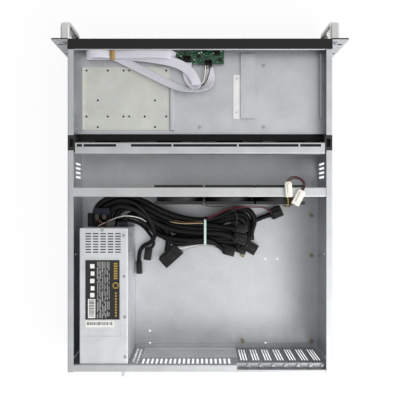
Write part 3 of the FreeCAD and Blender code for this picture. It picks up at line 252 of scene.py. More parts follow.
black_abs = moulded("black_abs", "#1c1c1d", 0.48)
trays = [f"tray_{i}" for i in range(1, 9)]
levers = [f"tray_lever_{i}" for i in range(1, 9)]
dress(black_abs, *trays, "drive_slot_blank", "lid_rail_ends", "power_button", "reset_button", "psu_inlet")
lever_abs = moulded("charcoal_abs", "#26272a", 0.4)
dress(lever_abs, *levers)
fan_plastic = moulded("glass_filled_fan_plastic", "#161617", 0.5)
dress(fan_plastic, "fan_frame_1", "fan_frame_2", "fan_frame_3", "fan_rotor_1", "fan_rotor_2", "fan_rotor_3",
      "psu_fan_frame", "psu_fan_rotor")
nylon_black = moulded("black_nylon", "#131313", 0.4, 0.0009, 0.3)
dress(nylon_black, "power_plugs")
# Black foam for the air seal; the same material is also the painted shade under the lid rail's slots.
black_foam_and_slot_shade = moulded("black_foam_and_painted_slot_shade", "#1b1b1b", 0.8, 0.0015, 0.3)
dress(black_foam_and_slot_shade, "air_seal")
nylon_white = moulded("natural_nylon", "#f1eee4", 0.45)
dress(nylon_white, "fan_plugs")
tie_nylon = moulded("mint_nylon", "#c9e2d8", 0.4)
dress(tie_nylon, "cable_tie")

# --- Circuit boards -----------------------------------------------------------------------
# Glass-fibre boards with a green solder mask over copper tracks. The front control board carries
# steel-shelled sockets, two black pin headers and small soldered parts; the backplane is plainer.


def solder_mask(name, hex_dark, hex_light):
    """Green mask: copper shows lighter under it every 3.6 mm, with pale 2 mm specks for pads and vias."""
    material, tree, surface = finish(name)
    place = add(tree, "TexCoord").outputs["Object"]
    tracks = add(tree, "TexVoronoi", {"Vector": place, "Scale": 1 / 0.0036}, distance="MANHATTAN")
    speck = add(tree, "TexNoise", {"Vector": place, "Scale": 1 / 0.0022, "Detail": 3.0})
    tone = add(tree, "ValToRGB", {"Fac": tracks.outputs["Distance"]})
    tone.color_ramp.elements[0].color = colour(hex_light)
    tone.color_ramp.elements[1].color = colour(hex_dark)
    tone.color_ramp.elements[1].position = 0.6
    pads = add(tree, "MapRange", {"Value": speck.outputs["Fac"], "From Min": 0.62, "From Max": 0.66})
    mixed = add(tree, "MixRGB", {0: pads.outputs[0], 1: tone.outputs[0], 2: colour("#9fb8a4")})
    tree.links.new(mixed.outputs[0], surface.inputs["Base Color"])
    surface.inputs["Roughness"].default_value = 0.35
    bump = add(tree, "Bump", {"Strength": 0.3, "Distance": 0.0001, "Height": tracks.outputs["Distance"]})
    tree.links.new(bump.outputs[0], surface.inputs["Normal"])
    return material


green_board = solder_mask("green_solder_mask", "#12402a", "#2f6b47")
dress(green_board, "control_board", "backplane")
port_steel = zinc_coat("nickel_plated_port_shell", "#cfcfcf", 0.3)
board_top = 72.6
sockets_side, sockets_rear, headers_front = 8, -251, -250
dress_part(port_steel, "control_board",
           lambda x, y, z: z > board_top and x > sockets_side and y < sockets_rear)
dress_part(nylon_black, "control_board", lambda x, y, z: z > board_top and y > headers_front)
drive_sockets_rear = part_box("backplane")[0].y * 1000 + 5.4
dress_part(nylon_black, "backplane", lambda x, y, z: y < drive_sockets_rear)


def cube(name, low, high, round_edge=0.0, rounds=2):
    """A block between two corners in millimetres, its edges rounded, its place kept in its mesh."""
    bpy.ops.object.select_all(action="DESELECT")
    middle = [(a + b) / 2000 for a, b in zip(low, high)]
    size = [(b - a) / 1000 for a, b in zip(low, high)]
    bpy.ops.mesh.primitive_cube_add(size=1, location=middle, scale=size)
    piece = bpy.context.object
    piece.name = name
    bpy.ops.object.transform_apply(location=True, rotation=True, scale=True)
    if round_edge:
        bpy.ops.object.mode_set(mode="EDIT")
        bpy.ops.mesh.select_all(action="SELECT")
        bpy.ops.mesh.bevel(offset=round_edge / 1000, segments=rounds, affect="EDGES")
        bpy.ops.object.mode_set(mode="OBJECT")
    return piece


def merge(name, pieces):
    """Several pieces as one object."""
    bpy.ops.object.select_all(action="DESELECT")
    for piece in pieces:
        piece.select_set(True)
    bpy.context.view_layer.objects.active = pieces[0]
    if len(pieces) > 1:
        bpy.ops.object.join()
    whole = bpy.context.object
    whole.name = name
    return whole


def fit(piece, material, body):
    """Material and body of a new piece."""
    if material:
        piece.data.materials.clear()
        piece.data.materials.append(material)
    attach(piece, body)
    return piece


draw = random.Random(4)
chips, passives, white_parts = [], [], []
chip_top, passive_top = board_top + 1.6, board_top + 0.9
for x, y, width, depth in ((-28, -252, 9, 9), (-8, -256, 7, 5), (2, -246, 6, 6), (34, -243, 5, 4),
                           (-33, -240.5, 6, 4)):
    chips.append(cube("chip", (x - width / 2, y - depth / 2, board_top),
                      (x + width / 2, y + depth / 2, chip_top), 0.3))
for i in range(34):
    x, y = draw.uniform(-37, 37), draw.uniform(-262, -239)
    by_sockets = x > 10 and y < -248
    by_headers = 14 < x < 30 or abs(x + 13.8) < 8
    if by_sockets or by_headers:
        continue
    part = cube("passive", (x, y, board_top),
                (x + draw.choice((1.2, 2.0)), y + draw.choice((1.0, 1.8)), passive_top), 0.15)
    (passives if i % 3 else white_parts).append(part)
fit(merge("board_chips", chips), nylon_black, "case")
fit(merge("board_resistors", passives), port_steel, "case")
fit(merge("board_capacitors", white_parts), nylon_white, "case")

# --- Cords --------------------------------------------------------------------------------
# Every cable is one skin carried along a smooth line led by given points, in millimetres:
# flat ribbons of wires side by side, braided sleeves over lobed bundles, and thin single wires.


def route_of(name, corners):
    """The smooth line led by given points in millimetres, as points in metres."""
    shape = bpy.data.curves.new(name + "_line", "CURVE")
    shape.dimensions = "3D"
    line = shape.splines.new("NURBS")
    line.points.add(len(corners) - 1)
    for point, corner in zip(line.points, corners):
        point.co = [c / 1000 for c in corner] + [1]
    line.order_u = 3
    line.use_endpoint_u = True
    line.resolution_u = 10
    holder = bpy.data.objects.new(name + "_line", shape)
    scene.collection.objects.link(holder)
    mesh = bpy.data.meshes.new_from_object(holder)
    path = [vertex.co.copy() for vertex in mesh.vertices]
    bpy.data.objects.remove(holder)
    bpy.data.meshes.remove(mesh)
    return path


def sweep(name, path, section, turns=(), flat=False):
    """A skin of one section, in millimetres, carried along a path and rolled by turns, in degrees.

    Its UV map runs round and along. Flat keeps a ribbon's width level where it isn't rolled."""
    sides, count = len(section), len(path)
    spots = []
    across = None
    for i, spot in enumerate(path):
        along = (path[min(i + 1, count - 1)] - path[max(i - 1, 0)]).normalized()
        if across is None:
            across = along.cross(Vector((0, 0, 1)))
        elif flat:
            across.z = 0
        across = (across - along * across.dot(along)).normalized()
        over = across.cross(along)
        roll = 0.0
        if turns:
            place = i / (count - 1) * (len(turns) - 1)
            first = min(int(place), len(turns) - 2)
            roll = math.radians(turns[first] + (turns[first + 1] - turns[first]) * (place - first))
        level = across * math.cos(roll) + over * math.sin(roll)
        plumb = over * math.cos(roll) - across * math.sin(roll)
        for a, b in section:
            spots.append(spot + level * (a / 1000) + plumb * (b / 1000))
    faces = []
    for i in range(count - 1):
        for j in range(sides):
            k = (j + 1) % sides
            faces.append((i * sides + j, i * sides + k, (i + 1) * sides + k, (i + 1) * sides + j))
    faces.append(tuple(range(sides))[::-1])
    faces.append(tuple((count - 1) * sides + j for j in range(sides)))
    mesh = bpy.data.meshes.new(name)
    mesh.from_pydata(spots, [], faces)
    chart = mesh.uv_layers.new(name="along")
    travel = [0.0]
    for a, b in zip(path, path[1:]):
        travel.append(travel[-1] + (b - a).length * 1000)
    for face in mesh.polygons[:-2]:
        row, column = divmod(face.index, sides)
        for loop, (j, i) in zip(face.loop_indices, ((0, 0), (1, 0), (1, 1), (0, 1))):
            chart.data[loop].uv = ((column + j) / sides, travel[row + i])
    mesh.update()
    piece = bpy.data.objects.new(name, mesh)
    scene.collection.objects.link(piece)
    bpy.ops.object.select_all(action="DESELECT")
    piece.select_set(True)
    bpy.context.view_layer.objects.active = piece
    bpy.ops.object.mode_set(mode="EDIT")
    bpy.ops.mesh.select_all(action="SELECT")
    bpy.ops.mesh.normals_make_consistent(inside=False)
    bpy.ops.object.mode_set(mode="OBJECT")
    bpy.ops.object.shade_smooth()
    return piece


def ring(radius, sides=8, lobes=0):
    """A round section in millimetres; lobes are the wires that push a sleeve outwards."""
    turns = [2 * math.pi * i / sides for i in range(sides)]
    reach = [radius * (1 + 0.07 * math.cos(lobes * t)) for t in turns]
    return [(r * math.cos(t), r * math.sin(t)) for r, t in zip(reach, turns)]


def braided(name, hex_code):
    """Woven threads: strands cross every 3 mm, with painted highlight on their tops and painted shade between
    them; the weave holds little gloss.
    """
    material, tree, surface = finish(name)
    surface.inputs["Specular IOR Level"].default_value = 0.18
    split = add(tree, "SeparateXYZ", {0: add(tree, "UVMap", uv_map="along").outputs[0]})
    waves_round, wave_length = 10, 3.0
    waves = []
    for lean in (1, -1):
        turn = add(tree, "Math", {0: split.outputs["X"], 1: 2 * math.pi * waves_round}, operation="MULTIPLY")
        run = add(tree, "Math", {0: split.outputs["Y"], 1: lean * 2 * math.pi / wave_length,
                                 2: turn.outputs[0]}, operation="MULTIPLY_ADD")
        waves.append(add(tree, "Math", {0: run.outputs[0]}, operation="COSINE").outputs[0])
    weave = add(tree, "Math", {0: waves[0], 1: waves[1]}, operation="MULTIPLY")
    strand = add(tree, "MapRange", {"Value": weave.outputs[0], "From Min": -1.0, "From Max": 1.0})
    # Painted highlight on the strands' tops and painted shade between them, from the same weave height as the
    # bump.
    tone = add(tree, "MixRGB", {0: strand.outputs[0], 1: colour(hex_code, 0.35), 2: colour(hex_code, 1.5)})
    tree.links.new(tone.outputs[0], surface.inputs["Base Color"])
    surface.inputs["Roughness"].default_value = 0.42
    bump = add(tree, "Bump", {"Strength": 0.6, "Distance": 0.0004, "Height": strand.outputs[0]})
    tree.links.new(bump.outputs[0], surface.inputs["Normal"])
    return material


def wire_vinyl(name, hex_code):
    """One vinyl-covered wire: soft gloss, a little lighter and darker along its length."""
    material, tree, surface = finish(name)
    split = add(tree, "SeparateXYZ", {0: add(tree, "UVMap", uv_map="along").outputs[0]})
    drift = add(tree, "TexNoise", {"W": split.outputs["Y"], "Scale": 0.12, "Detail": 2.0},
                noise_dimensions="1D")
    tone = add(tree, "ValToRGB", {"Fac": drift.outputs["Fac"]})
    tone.color_ramp.elements[0].color = colour(hex_code, 0.8)
    tone.color_ramp.elements[1].color = colour(hex_code, 1.15)
    tree.links.new(tone.outputs[0], surface.inputs["Base Color"])
    surface.inputs["Roughness"].default_value = 0.36
    return material


def ribbon_vinyl(name, hex_code):
    """Flat cable: soft vinyl wires side by side, 1.2 mm apart, with painted shade in the groove between them.
    """
    material, tree, surface = finish(name)
    split = add(tree, "SeparateXYZ", {0: add(tree, "UVMap", uv_map="along").outputs[0]})
    wires_round = 24
    wires = add(tree, "Math", {0: split.outputs["X"], 1: 2 * math.pi * wires_round}, operation="MULTIPLY")
    wires = add(tree, "Math", {0: wires.outputs[0]}, operation="COSINE")
    # Painted shade: the colour darkens towards the groove between the wires.
    groove = add(tree, "MapRange", {"Value": wires.outputs[0], "From Min": -1.0, "From Max": 0.2})
    tone = add(tree, "MixRGB", {0: groove.outputs[0], 1: colour(hex_code, 0.72), 2: colour(hex_code)})
    tree.links.new(tone.outputs[0], surface.inputs["Base Color"])
    surface.inputs["Roughness"].default_value = 0.38
    bump = add(tree, "Bump", {"Strength": 0.5, "Distance": 0.0003, "Height": wires.outputs[0]})
    tree.links.new(bump.outputs[0], surface.inputs["Normal"])
    return material


def carve(body, cutter):
    """Cuts one piece out of another."""
    cut = body.modifiers.new("cut", "BOOLEAN")
    cut.object = cutter
    cut.operation = "DIFFERENCE"
    bpy.ops.object.select_all(action="DESELECT")
    body.select_set(True)
    bpy.context.view_layer.objects.active = body
    bpy.ops.object.modifier_apply(modifier="cut")
    bpy.data.objects.remove(cutter)


def plug(name, size, place, turn, wells, material=nylon_black):
    """A moulded plug: rounded body, wells, ribs, collar and latch. Unturned, its mouth looks along +Y."""
    length, width, height = size
    body = cube(name, (-width / 2, 0, 0), (width / 2, length, height), 0.7)
    step = width / wells
    cuts = []
    for i in range(wells):
        side = -width / 2 + i * step
        cuts.append(cube("well", (side + 0.8, length * 0.7, 0.9),
                         (side + step - 0.8, length + 1, height - 0.9)))
        if i:
            cuts.append(cube("groove", (side - 0.3, length * 0.1, height - 0.5),
                             (side + 0.3, length * 0.9, height + 1)))
    carve(body, merge("wells", cuts))
    arm = cube("latch", (-width * 0.17, length * 0.12, height),
               (width * 0.17, length * 0.8, height + 1.5), 0.5)
    grip = cube("grip", (-width * 0.2, length * 0.1, height + 0.6),
                (width * 0.2, length * 0.28, height + 2.4), 0.5)
    collar = cube("collar", (-width * 0.42, -2.2, height * 0.14), (width * 0.42, 0.4, height * 0.86), 1.0)
    whole = merge(name, [body, arm, grip, collar])
    shift = Matrix.Translation([c / 1000 for c in place])
    whole.data.transform(shift @ Matrix.Rotation(math.radians(turn), 4, "Z"))
    bpy.ops.object.shade_smooth_by_angle(angle=math.radians(40))
    return fit(whole, material, "case")


def lay(name, corners, section, material):
    """A cable swept along the smooth line led by its corners, in the case's body."""
    path = route_of(name, corners)
    piece = fit(sweep(name, path, section), material, "case")
    return piece


# --- Power supply's plugs and sleeved cables ----------------------------------------------
# Sleeved bundles leave the hole in the power supply's front and sweep forward as far as the fan
# bar. Most run back and across through one nylon tie. All end in black plugs in the board bay.

floor = 1.2
board_plug = plug("board_plug", (22, 40, 15), (59.5, 84, floor), 42, 6)
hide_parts("power_plugs")
card_plug = plug("card_plug", (21, 13, 9), (92.5, 79, floor), -8, 2)
cpu_plug = plug("cpu_plug", (22, 10, 8), (110.4, 102.8, floor), 2, 2)
drive_plug = plug("drive_plug", (27, 20, 9), (-57.4, 38, 12.4), 90, 4)
upper_drive_plug = plug("upper_drive_plug", (18, 13, 7), (-62, 41.5, 23.9), 84, 4)
bay_plug = plug("bay_plug", (26, 20, 9), (-79, 70, floor), 60, 4)
small_plug = plug("small_plug", (20, 14, 9), (-43, 82, floor), 75, 2)
floppy_plug = plug("floppy_plug", (9, 12, 7), (-91.5, 55.5, floor), 5, 4)
sata_plug = plug("sata_plug", (20, 20, 8), (-128.4, 17.7, 4.7), 113, 4)

sleeve_black = braided("black_braided_sleeve", "#0b0b0c")


def sleeved(name, corners, radius, node=""):
    """A sleeved bundle of five wires that ends in a plug; it may stand for a CAD node."""
    piece = lay(name, corners, ring(radius, 20, 5), sleeve_black)
    if node:
        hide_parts(node)


sleeved("board_power_cable_sleeve", [
    (150, 36.6, 34), (148, 16, 36), (131, 4, 37), (106, 5, 33), (86, 18, 27), (70, 35, 20), (57, 51, 13),
    (56, 67, 9.5), (59.5, 84, 8.5)], 5, "board_power_cable")
sleeved("cpu_power_cable_sleeve", [
    (164, 36.6, 34), (167, 16, 39), (156, -3, 45), (131, -10, 48), (107, -1, 46), (91, 17, 40),
    (81, 39, 31), (80, 58, 17), (89, 68, 9), (103, 74, 6), (111, 87, 5.5), (110.5, 102.5, 5.5)],
    3.5, "cpu_power_cable")
sleeved("drive_power_cable_sleeve", [
    (179.8, 37.9, 34), (184, 14, 36), (170, -6, 36), (142, -15, 34), (114, -10, 30), (88, 4, 26),
    (60, 20, 22), (27, 32, 20), (-9, 40, 18), (-36, 40, 17), (-57, 38, 17)],
    4, "drive_power_cable")
sleeved("sata_power_cable_sleeve", [
    (136, 36.6, 30), (132, 20, 21), (111, 12, 12), (84, 22, 8), (62, 42, 6.5), (30, 54, 6.5), (-9, 58, 6.5),
    (-45, 55, 6.5), (-77, 43, 7), (-104, 25, 8), (-128, 18, 9)], 4, "sata_power_cable")
sleeved("outer_bundle", [
    (178.5, 37, 41), (182, 18, 43), (176, 0, 44), (158, -12, 42), (130, -15, 40), (104, -10, 41),
    (82, 2, 38), (62, 13, 33), (36, 22, 28), (8, 27, 25.5), (-12, 27, 25), (-34, 20, 27), (-52, 10, 30),
    (-68, 5, 31), (-84, 8, 30), (-94, 18, 27), (-96, 32, 20), (-93, 44, 11), (-91.5, 55, 6.4)],
    5)
sleeved("upper_drive_bundle", [
    (171, 37, 40.5), (173, 17, 42), (163, 1, 44), (144, -5, 43), (118, -4, 39), (96, 4, 37), (76, 15, 34),
    (52, 26, 29), (24, 33, 26), (-9, 34.5, 24.5), (-36, 38, 26), (-62, 41.5, 27)],
    4.5)
sleeved("bay_bundle_right", [
    (157, 37, 41.5), (158, 20, 43), (152, 7, 46), (134, 1, 47), (112, 8, 42), (94, 20, 33), (76, 33, 30),
    (52, 43, 26), (22, 48, 25), (-9, 50, 24.5), (-34, 50, 22), (-54, 55, 15), (-68, 62, 8), (-79, 68, 6)],
    5)
sleeved("bay_bundle_left", [
    (164, 37, 26.5), (166, 18, 24), (156, 2, 24), (134, -3, 25), (110, 2, 24), (90, 14, 20), (68, 28, 23),
    (46, 36, 26), (20, 41, 25.5), (-9, 42.2, 24.5), (-34, 43, 20), (-54, 49, 10), (-66, 60, 5.5),
    (-78, 73, 5.5)], 4.5)
sleeved("inner_bundle", [
    (136, 37, 39.5), (133, 25, 40), (122, 17, 38), (108, 22, 33), (97, 33, 25), (85, 45, 18),
    (72, 53, 17.5), (56, 58, 22), (34, 61, 23), (10, 62, 24.5), (-9, 61, 24.5), (-24, 66, 19),
    (-34, 75, 11), (-43, 81.5, 6)], 4.2)
sleeved("card_bundle", [
    (157, 37, 27.5), (152, 27, 20), (138, 27, 12), (120, 30, 7), (104, 38, 5), (92, 52, 5), (83, 66, 5),
    (85, 77, 5.2), (92.5, 79.5, 5.4)], 2.5)

middle_plug = plug("middle_plug", (22, 18, 9), (-61, 57, 10.5), 72, 4)
last_plug = plug("last_plug", (18, 12, 8), (-66, 79, floor), 70, 2)
sleeved("middle_bundle", [
    (62, 32, 12), (36, 38, 13), (10, 46, 14), (-9, 49, 15), (-34, 55, 16), (-50, 57, 15.5), (-61, 57.5, 15)],
    4.5)
sleeved("inner_fold_bundle", [
    (50, 24, 13), (20, 29, 13), (-9, 29, 14), (-30, 24, 20), (-50, 18.5, 24), (-68, 15, 24), (-80, 18, 22),
    (-86, 28, 17), (-88, 42, 10), (-89, 55.5, 6)], 4.5)
sleeved("low_bundle", [
    (86, 36, 12), (74, 52, 8), (58, 62, 14), (40, 70, 12), (20, 70, 6.5), (-9, 66, 7), (-34, 71, 6.5),
    (-52, 76, 6), (-66, 79, 6)], 4.5)
sleeved("crossing_bundle", [
    (102, 26, 17), (90, 40, 10), (78, 53, 7), (62, 60, 7), (44, 58, 12), (24, 54, 14), (6, 54, 15),
    (-9, 57, 15.5), (-30, 61, 13), (-48, 60, 14), (-61, 58.5, 15)], 4)

sleeved("fan_side_fold_bundle", [
    (40, 31, 18), (16, 36, 17), (-9, 38, 15.5), (-28, 33, 17), (-46, 25, 20), (-62, 21, 22), (-75, 25, 21),
    (-80, 38, 16), (-76, 52, 11), (-70, 66, 8), (-66, 79, 7.6)], 6)
sleeved("board_side_fold_bundle", [
    (96, 24, 14), (78, 42, 10), (62, 56, 9), (44, 66, 9), (26, 68, 11), (8, 63, 11.5), (-9, 60, 11.5),
    (-28, 63, 10), (-46, 66, 9), (-60, 67, 7), (-79, 68.5, 7)], 5.5)

# --- Loose connectors and single wires ----------------------------------------------------
# Spare connectors lie on the bundles in front of the power supply. Thin coloured wires run among
# the bundles, join the fans' two plugs on the bar and drop behind it, and come down from the front
# board's header.

navy_nylon = moulded("navy_nylon", "#171c2a", 0.4, 0.0009, 0.3)
smoky_nylon = moulded("smoky_nylon", "#4a443f", 0.45)
spare_black = plug("spare_black_plug", (24, 12, 9), (189, 38, 30), 180, 2)
spare_navy_left = plug("spare_navy_plug_left", (9, 13, 8), (174.5, 14, 46), 172, 4, navy_nylon)
plug("spare_navy_plug_right", (9, 13, 8), (160, 14.4, 49), 184, 4, navy_nylon)
plug("spare_smoky_plug_left", (9, 6, 5), (176.5, 24, 45.5), 176, 2, smoky_nylon)
plug("spare_smoky_plug_right", (9, 7, 5), (163.5, 22.5, 46.5), 184, 2, smoky_nylon)
plug("spare_wide_plug", (13, 10, 7), (147, 30, 45.8), -74, 3, smoky_nylon)
plug("spare_dark_plug", (12, 9, 7), (127, 33, 42.6), -84, 2, navy_nylon)
row_plug = plug("fan_plug_row", (23, 11, 8), (-142, -36, 86.9), 4, 2, nylon_white)
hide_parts("fan_plugs")
end_plug = plug("fan_plug_end", (24, 13, 8), (-164, -22, 86.9), -28, 2, nylon_white)

WIRES = {
    "white": wire_vinyl("white_wire_vinyl", "#e4e2dc"),
    "cream": wire_vinyl("cream_wire_vinyl", "#b5a67c"),
    "orange": wire_vinyl("orange_wire_vinyl", "#5c3522"),
    "red": wire_vinyl("crimson_wire_vinyl", "#5e1a26"),
    "purple": wire_vinyl("purple_wire_vinyl", "#2c1620"),
    "grey": wire_vinyl("grey_wire_vinyl", "#a9a7a6"),
    "black": wire_vinyl("black_wire_vinyl", "#161616"),
    "olive": wire_vinyl("olive_wire_vinyl", "#b39c3a"),
}


def wire(name, tint, corners, radius=0.7):
    """A thin single wire in one of the vinyl tints."""
    lay(name, corners, ring(radius), WIRES[tint])


wire("white_wire", "white", [
    (176, 37, 43), (168, 33, 47), (158, 28, 50), (143, 22, 52), (128, 18, 52.5), (112, 20, 47),
    (99, 25, 34), (90, 36, 18), (80, 46, 9), (58, 53, 7), (35, 56, 7), (8, 57, 7), (-9, 56.5, 7),
    (-30, 59, 7), (-52, 63, 9), (-68, 67, 5.5), (-79, 70.5, 5)])
wire("cream_wire", "cream", [
    (169, 37, 41), (176, 16, 38), (168, -2, 38), (144, -9, 38), (118, -8, 36), (96, 1, 33), (76, 18, 31),
    (54, 29, 30), (38, 32.4, 32.6), (20, 33, 31.8), (2, 32, 31.4), (-9, 33.4, 27), (-34, 38, 24),
    (-62, 41, 25)])
wire("orange_wire", "orange", [
    (172, 37, 41), (178, 16, 40), (170, -2, 40), (146, -12, 39), (118, -11, 37), (96, -3, 36), (76, 11, 34),
    (54, 23.5, 31), (38, 29, 32.6), (20, 30.6, 32), (2, 29.6, 31.4), (-9, 29, 27), (-34, 21, 26),
    (-56, 11, 29), (-74, 7, 30), (-88, 13, 28), (-93, 26, 24), (-92, 42, 12), (-90.5, 55, 5.5)])
for i, (x, y, z) in enumerate(((0, 0, 0), (1.5, 2.2, 0.4))):
    wire(f"crimson_wire_{i + 1}", "red", [
        (-11 - x, 25 + y, 29.8 - z), (-30, 14 + y, 31 - z), (-52, 4.5 + y, 36 - z), (-76, 2.4 + y, 37 - z),
        (-98, 2 + y, 27 - z), (-114, 3 + y, 16 - z), (-126, 9 + y, 12 - z), (-128.5, 16 + y, 12 - z)])
wire("thin_black_wire", "black", [
    (-2, -1, 52), (-14, 2.5, 47), (-32, 3, 44), (-50, 4, 41), (-62, 12, 36), (-66, 24, 32), (-63, 38, 29.5)])
for i in range(3):
    wire(f"pale_lead_{i + 1}", ("grey", "white", "grey")[i], [
        (62, 62 + 2 * i, 9), (48, 74 + 2 * i, 9.5), (33, 77 + 2.2 * i, 8.5), (15, 73 + 2 * i, 7),
        (-2, 69.5 + 1.6 * i, 5), (-22, 71 + 1.5 * i, 3.6), (-43, 79 + 1.5 * i, 4)],
        1.3)
for i in range(3):
    wire(f"brown_wire_{i + 1}", ("orange", "red", "orange")[i], [
        (157 + 3 * i, 38, 42 - i), (163 + 3 * i, 33 - i, 47.5), (171 + 3 * i, 27, 48.5),
        (177 + 1.5 * i, 20, 48.8), (174 + 1.5 * i, 14.5, 49.5)])
wire("spare_black_lead", "black", [
    (180, 37, 28), (186, 44, 29), (198, 46, 31), (199, 39, 33), (189, 38, 34)],
    1.2)
for i, tint in enumerate(("purple", "red", "black")):
    wire(f"fan_loop_{i + 1}", tint, [
        (-140 - 2 * i, -37.5, 91), (-143 - 2 * i, -45 + i, 91.5), (-154 - i, -47.5 + 2 * i, 91.5),
        (-166 + i, -42 + i, 91.5), (-172 + 2 * i, -32, 91), (-166 + 1.6 * i, -23, 91)])
for i, tint in enumerate(("olive", "black", "red")):
    wire(f"fan_lead_{i + 1}", tint, [
        (-141 - 2.4 * i, -16, 91), (-142 - 2.6 * i, -9, 91.3), (-143 - 2.6 * i, -2, 88),
        (-143.5 - 2.4 * i, 2, 80), (-143 - 2 * i, 2.4, 66), (-141 - 2 * i, 1, 52)])
for i, tint in enumerate(("white", "grey", "black")):
    wire(f"header_wire_{i + 1}", tint, [
        (-9.5 - 3.6 * i, -230, 79.5), (-9 - 3.6 * i, -224, 80), (-8 - 3 * i, -214, 77),
        (-7 - 2 * i, -205, 73), (2 - i, -198 + i, 70.2), (18, -199 + 2 * i, 69.6)])

# --- Ribbon cables ------------------------------------------------------------------------
# Two flat grey-white cables leave the front board's headers, fold and run over the drive plate
# towards the side wall. The upper one loops back along the panel's lip, and cloth tape binds both.


def ribbon(name, corners, turns, node):
    """One flat cable, 15 mm wide, with low ridges along both faces, rolled by turns on its way."""
    half = 7.5
    section = ([(-half + i * half / 8, -0.5 + 0.15 * (i % 2)) for i in range(17)]
               + [(half - i * half / 8, 0.5 - 0.15 * (i % 2)) for i in range(17)])
    path = route_of(name, corners)
    piece = fit(sweep(name, path, section, turns, True), ribbon_white, "case")
    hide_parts(node)


ribbon_white = ribbon_vinyl("grey_white_ribbon_vinyl", "#dcdbe4")
ribbon("ribbon_cable_upper", [
    (21.5, -234.8, 77), (21.5, -225, 75), (20.5, -213, 73), (16, -204, 72.6), (8, -196.5, 74.5),
    (4.5, -196.5, 78), (9, -208, 79.5), (17, -219.5, 79.5), (29, -229, 79.3), (47, -236, 78.5),
    (70, -241, 76.5), (95, -245, 74.5), (120, -247, 73.8), (143, -248.5, 74.6), (156, -248.5, 71.6),
    (172, -248.5, 70), (183, -248.5, 71.5), (188, -248.5, 77.5), (183, -248.5, 83), (172, -248.5, 85.2),
    (158, -248.5, 83), (143, -248.5, 78.8), (125, -248.5, 80.2), (100, -248.5, 82.2), (75, -248.5, 82.6),
    (56, -248, 82), (46, -246.5, 79), (41, -245, 73)],
    [0] * 6 + [5, 10, 12, 12, 8, 4] + [0] * 16, "ribbon_cable_1")
ribbon("ribbon_cable_lower", [
    (-13.8, -226, 75), (-16.5, -216, 74), (-18, -206, 73.5), (-12, -196, 74), (2, -191.5, 74.5),
    (20, -191, 74), (38, -195, 74), (56, -203.5, 73), (78, -214.5, 73), (100, -225.5, 73),
    (122, -237, 72.8), (143, -248, 73.4), (156, -250, 71.5)],
    [0, 0, -20, -40, -50, -45, -34, -30, -30, -28, -18, 0, 0], "ribbon_cable_2")
tape_cloth = braided("tan_cloth_tape", "#a88a55")
tape_x = 143.3
tape_section = [(-4, -0.2), (4, -0.2), (4, 0.2), (-4, 0.2)]
tape_line = route_of("ribbon_tape", [
    (tape_x, -248, 82), (tape_x, -257, 81.8), (tape_x, -257.6, 76), (tape_x, -250, 72.3),
    (tape_x, -240.6, 71.8), (tape_x, -239.6, 75), (tape_x, -240.6, 81.8), (tape_x, -248, 82.5),
    (tape_x, -253, 82.6)])
fit(sweep("ribbon_tape", tape_line, tape_section), tape_cloth, "case")

# --- Power supply's label -----------------------------------------------------------------
# A black label with plain grey and gold blocks and a white strip with bars lie in a shallow
# pressed frame on the power supply's cover. A folded black film insulates it inside the vents.


def paper_print(name, hex_code, roughness=0.5):
    """Printed film: a fine paper tooth and faint uneven ink."""
    material, tree, surface = finish(name)
    place = add(tree, "TexCoord").outputs["Object"]
    ink = add(tree, "TexNoise", {"Vector": place, "Scale": 1 / 0.004, "Detail": 3.0})
    tone = add(tree, "ValToRGB", {"Fac": ink.outputs["Fac"]})
    tone.color_ramp.elements[0].color = colour(hex_code, 0.85)
    tone.color_ramp.elements[1].color = colour(hex_code, 1.1)
    tree.links.new(tone.outputs[0], surface.inputs["Base Color"])
    surface.inputs["Roughness"].default_value = roughness
    bump = add(tree, "Bump", {"Strength": 0.1, "Distance": 0.00005, "Height": ink.outputs["Fac"]})
    tree.links.new(bump.outputs[0], surface.inputs["Normal"])
    return material


black_film = paper_print("black_label_film", "#1a1a1b", 0.4)
grey_ink = paper_print("grey_label_ink", "#a6a6a4")
gold_ink = paper_print("gold_label_ink", "#a8893e")
white_film = paper_print("white_label_film", "#ecebe7")
psu_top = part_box("psu_cover")[1].z * 1000


def slab(x, y, low, high, edge=0.0):
    """A thin flat piece on the power supply, its heights counted from the cover."""
    return cube("slab", (x[0], y[0], psu_top + low), (x[1], y[1], psu_top + high), edge)


psu_low, psu_high = [corner * 1000 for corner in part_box("psu_cover")]
film_side, film_top, gauge = psu_low.x + 1.9, psu_top - 1.9, 0.4
lining = [cube("lining", (film_side, 42, film_top - gauge), (psu_high.x - 4, 88, film_top), 0.15),
          cube("lining", (film_side, 42, 12), (film_side + gauge, 120, film_top), 0.15)]
fit(merge("psu_insulating_film", lining), black_film, "case")
frame_bars = [slab(x, (87, 214), 0, 0.5, 0.2) for x in ((127.6, 128.6), (187.6, 188.6))]
frame_bars += [slab((127.6, 188.6), y, 0, 0.5, 0.2) for y in ((86.6, 87.6), (213.4, 214.4))]
fit(merge("psu_pressed_frame", frame_bars), psu_steel, "case")
fit(merge("psu_label", [slab((131, 186.9), (89.5, 186.5), 0, 0.3, 0.1)]), black_film, "case")
printed = (0.3, 0.34)        # heights over the cover, from the label's face to the top of its print
lines, golds, whites, bars = [], [], [], []
for column in range(8):
    x, y = 147.6 + column * 2.7, 92.0
    while y < 182:
        run = draw.uniform(4, 22)
        lines.append(slab((x, x + draw.choice((0.9, 1.3))), (y, min(y + run, 184)), *printed))
        y += run + draw.uniform(1.5, 4)
for i, y in enumerate((96, 108, 120, 132, 143)):
    whites.append(slab((172, 179 - i % 2), (y, y + 7), *printed))
whites.append(slab((170.5, 182.5), (153, 184), *printed))
for i in range(7):
    golds.append(slab((134.5, 140.5), (94 + 4 * i, 96.6 + 4 * i), *printed))
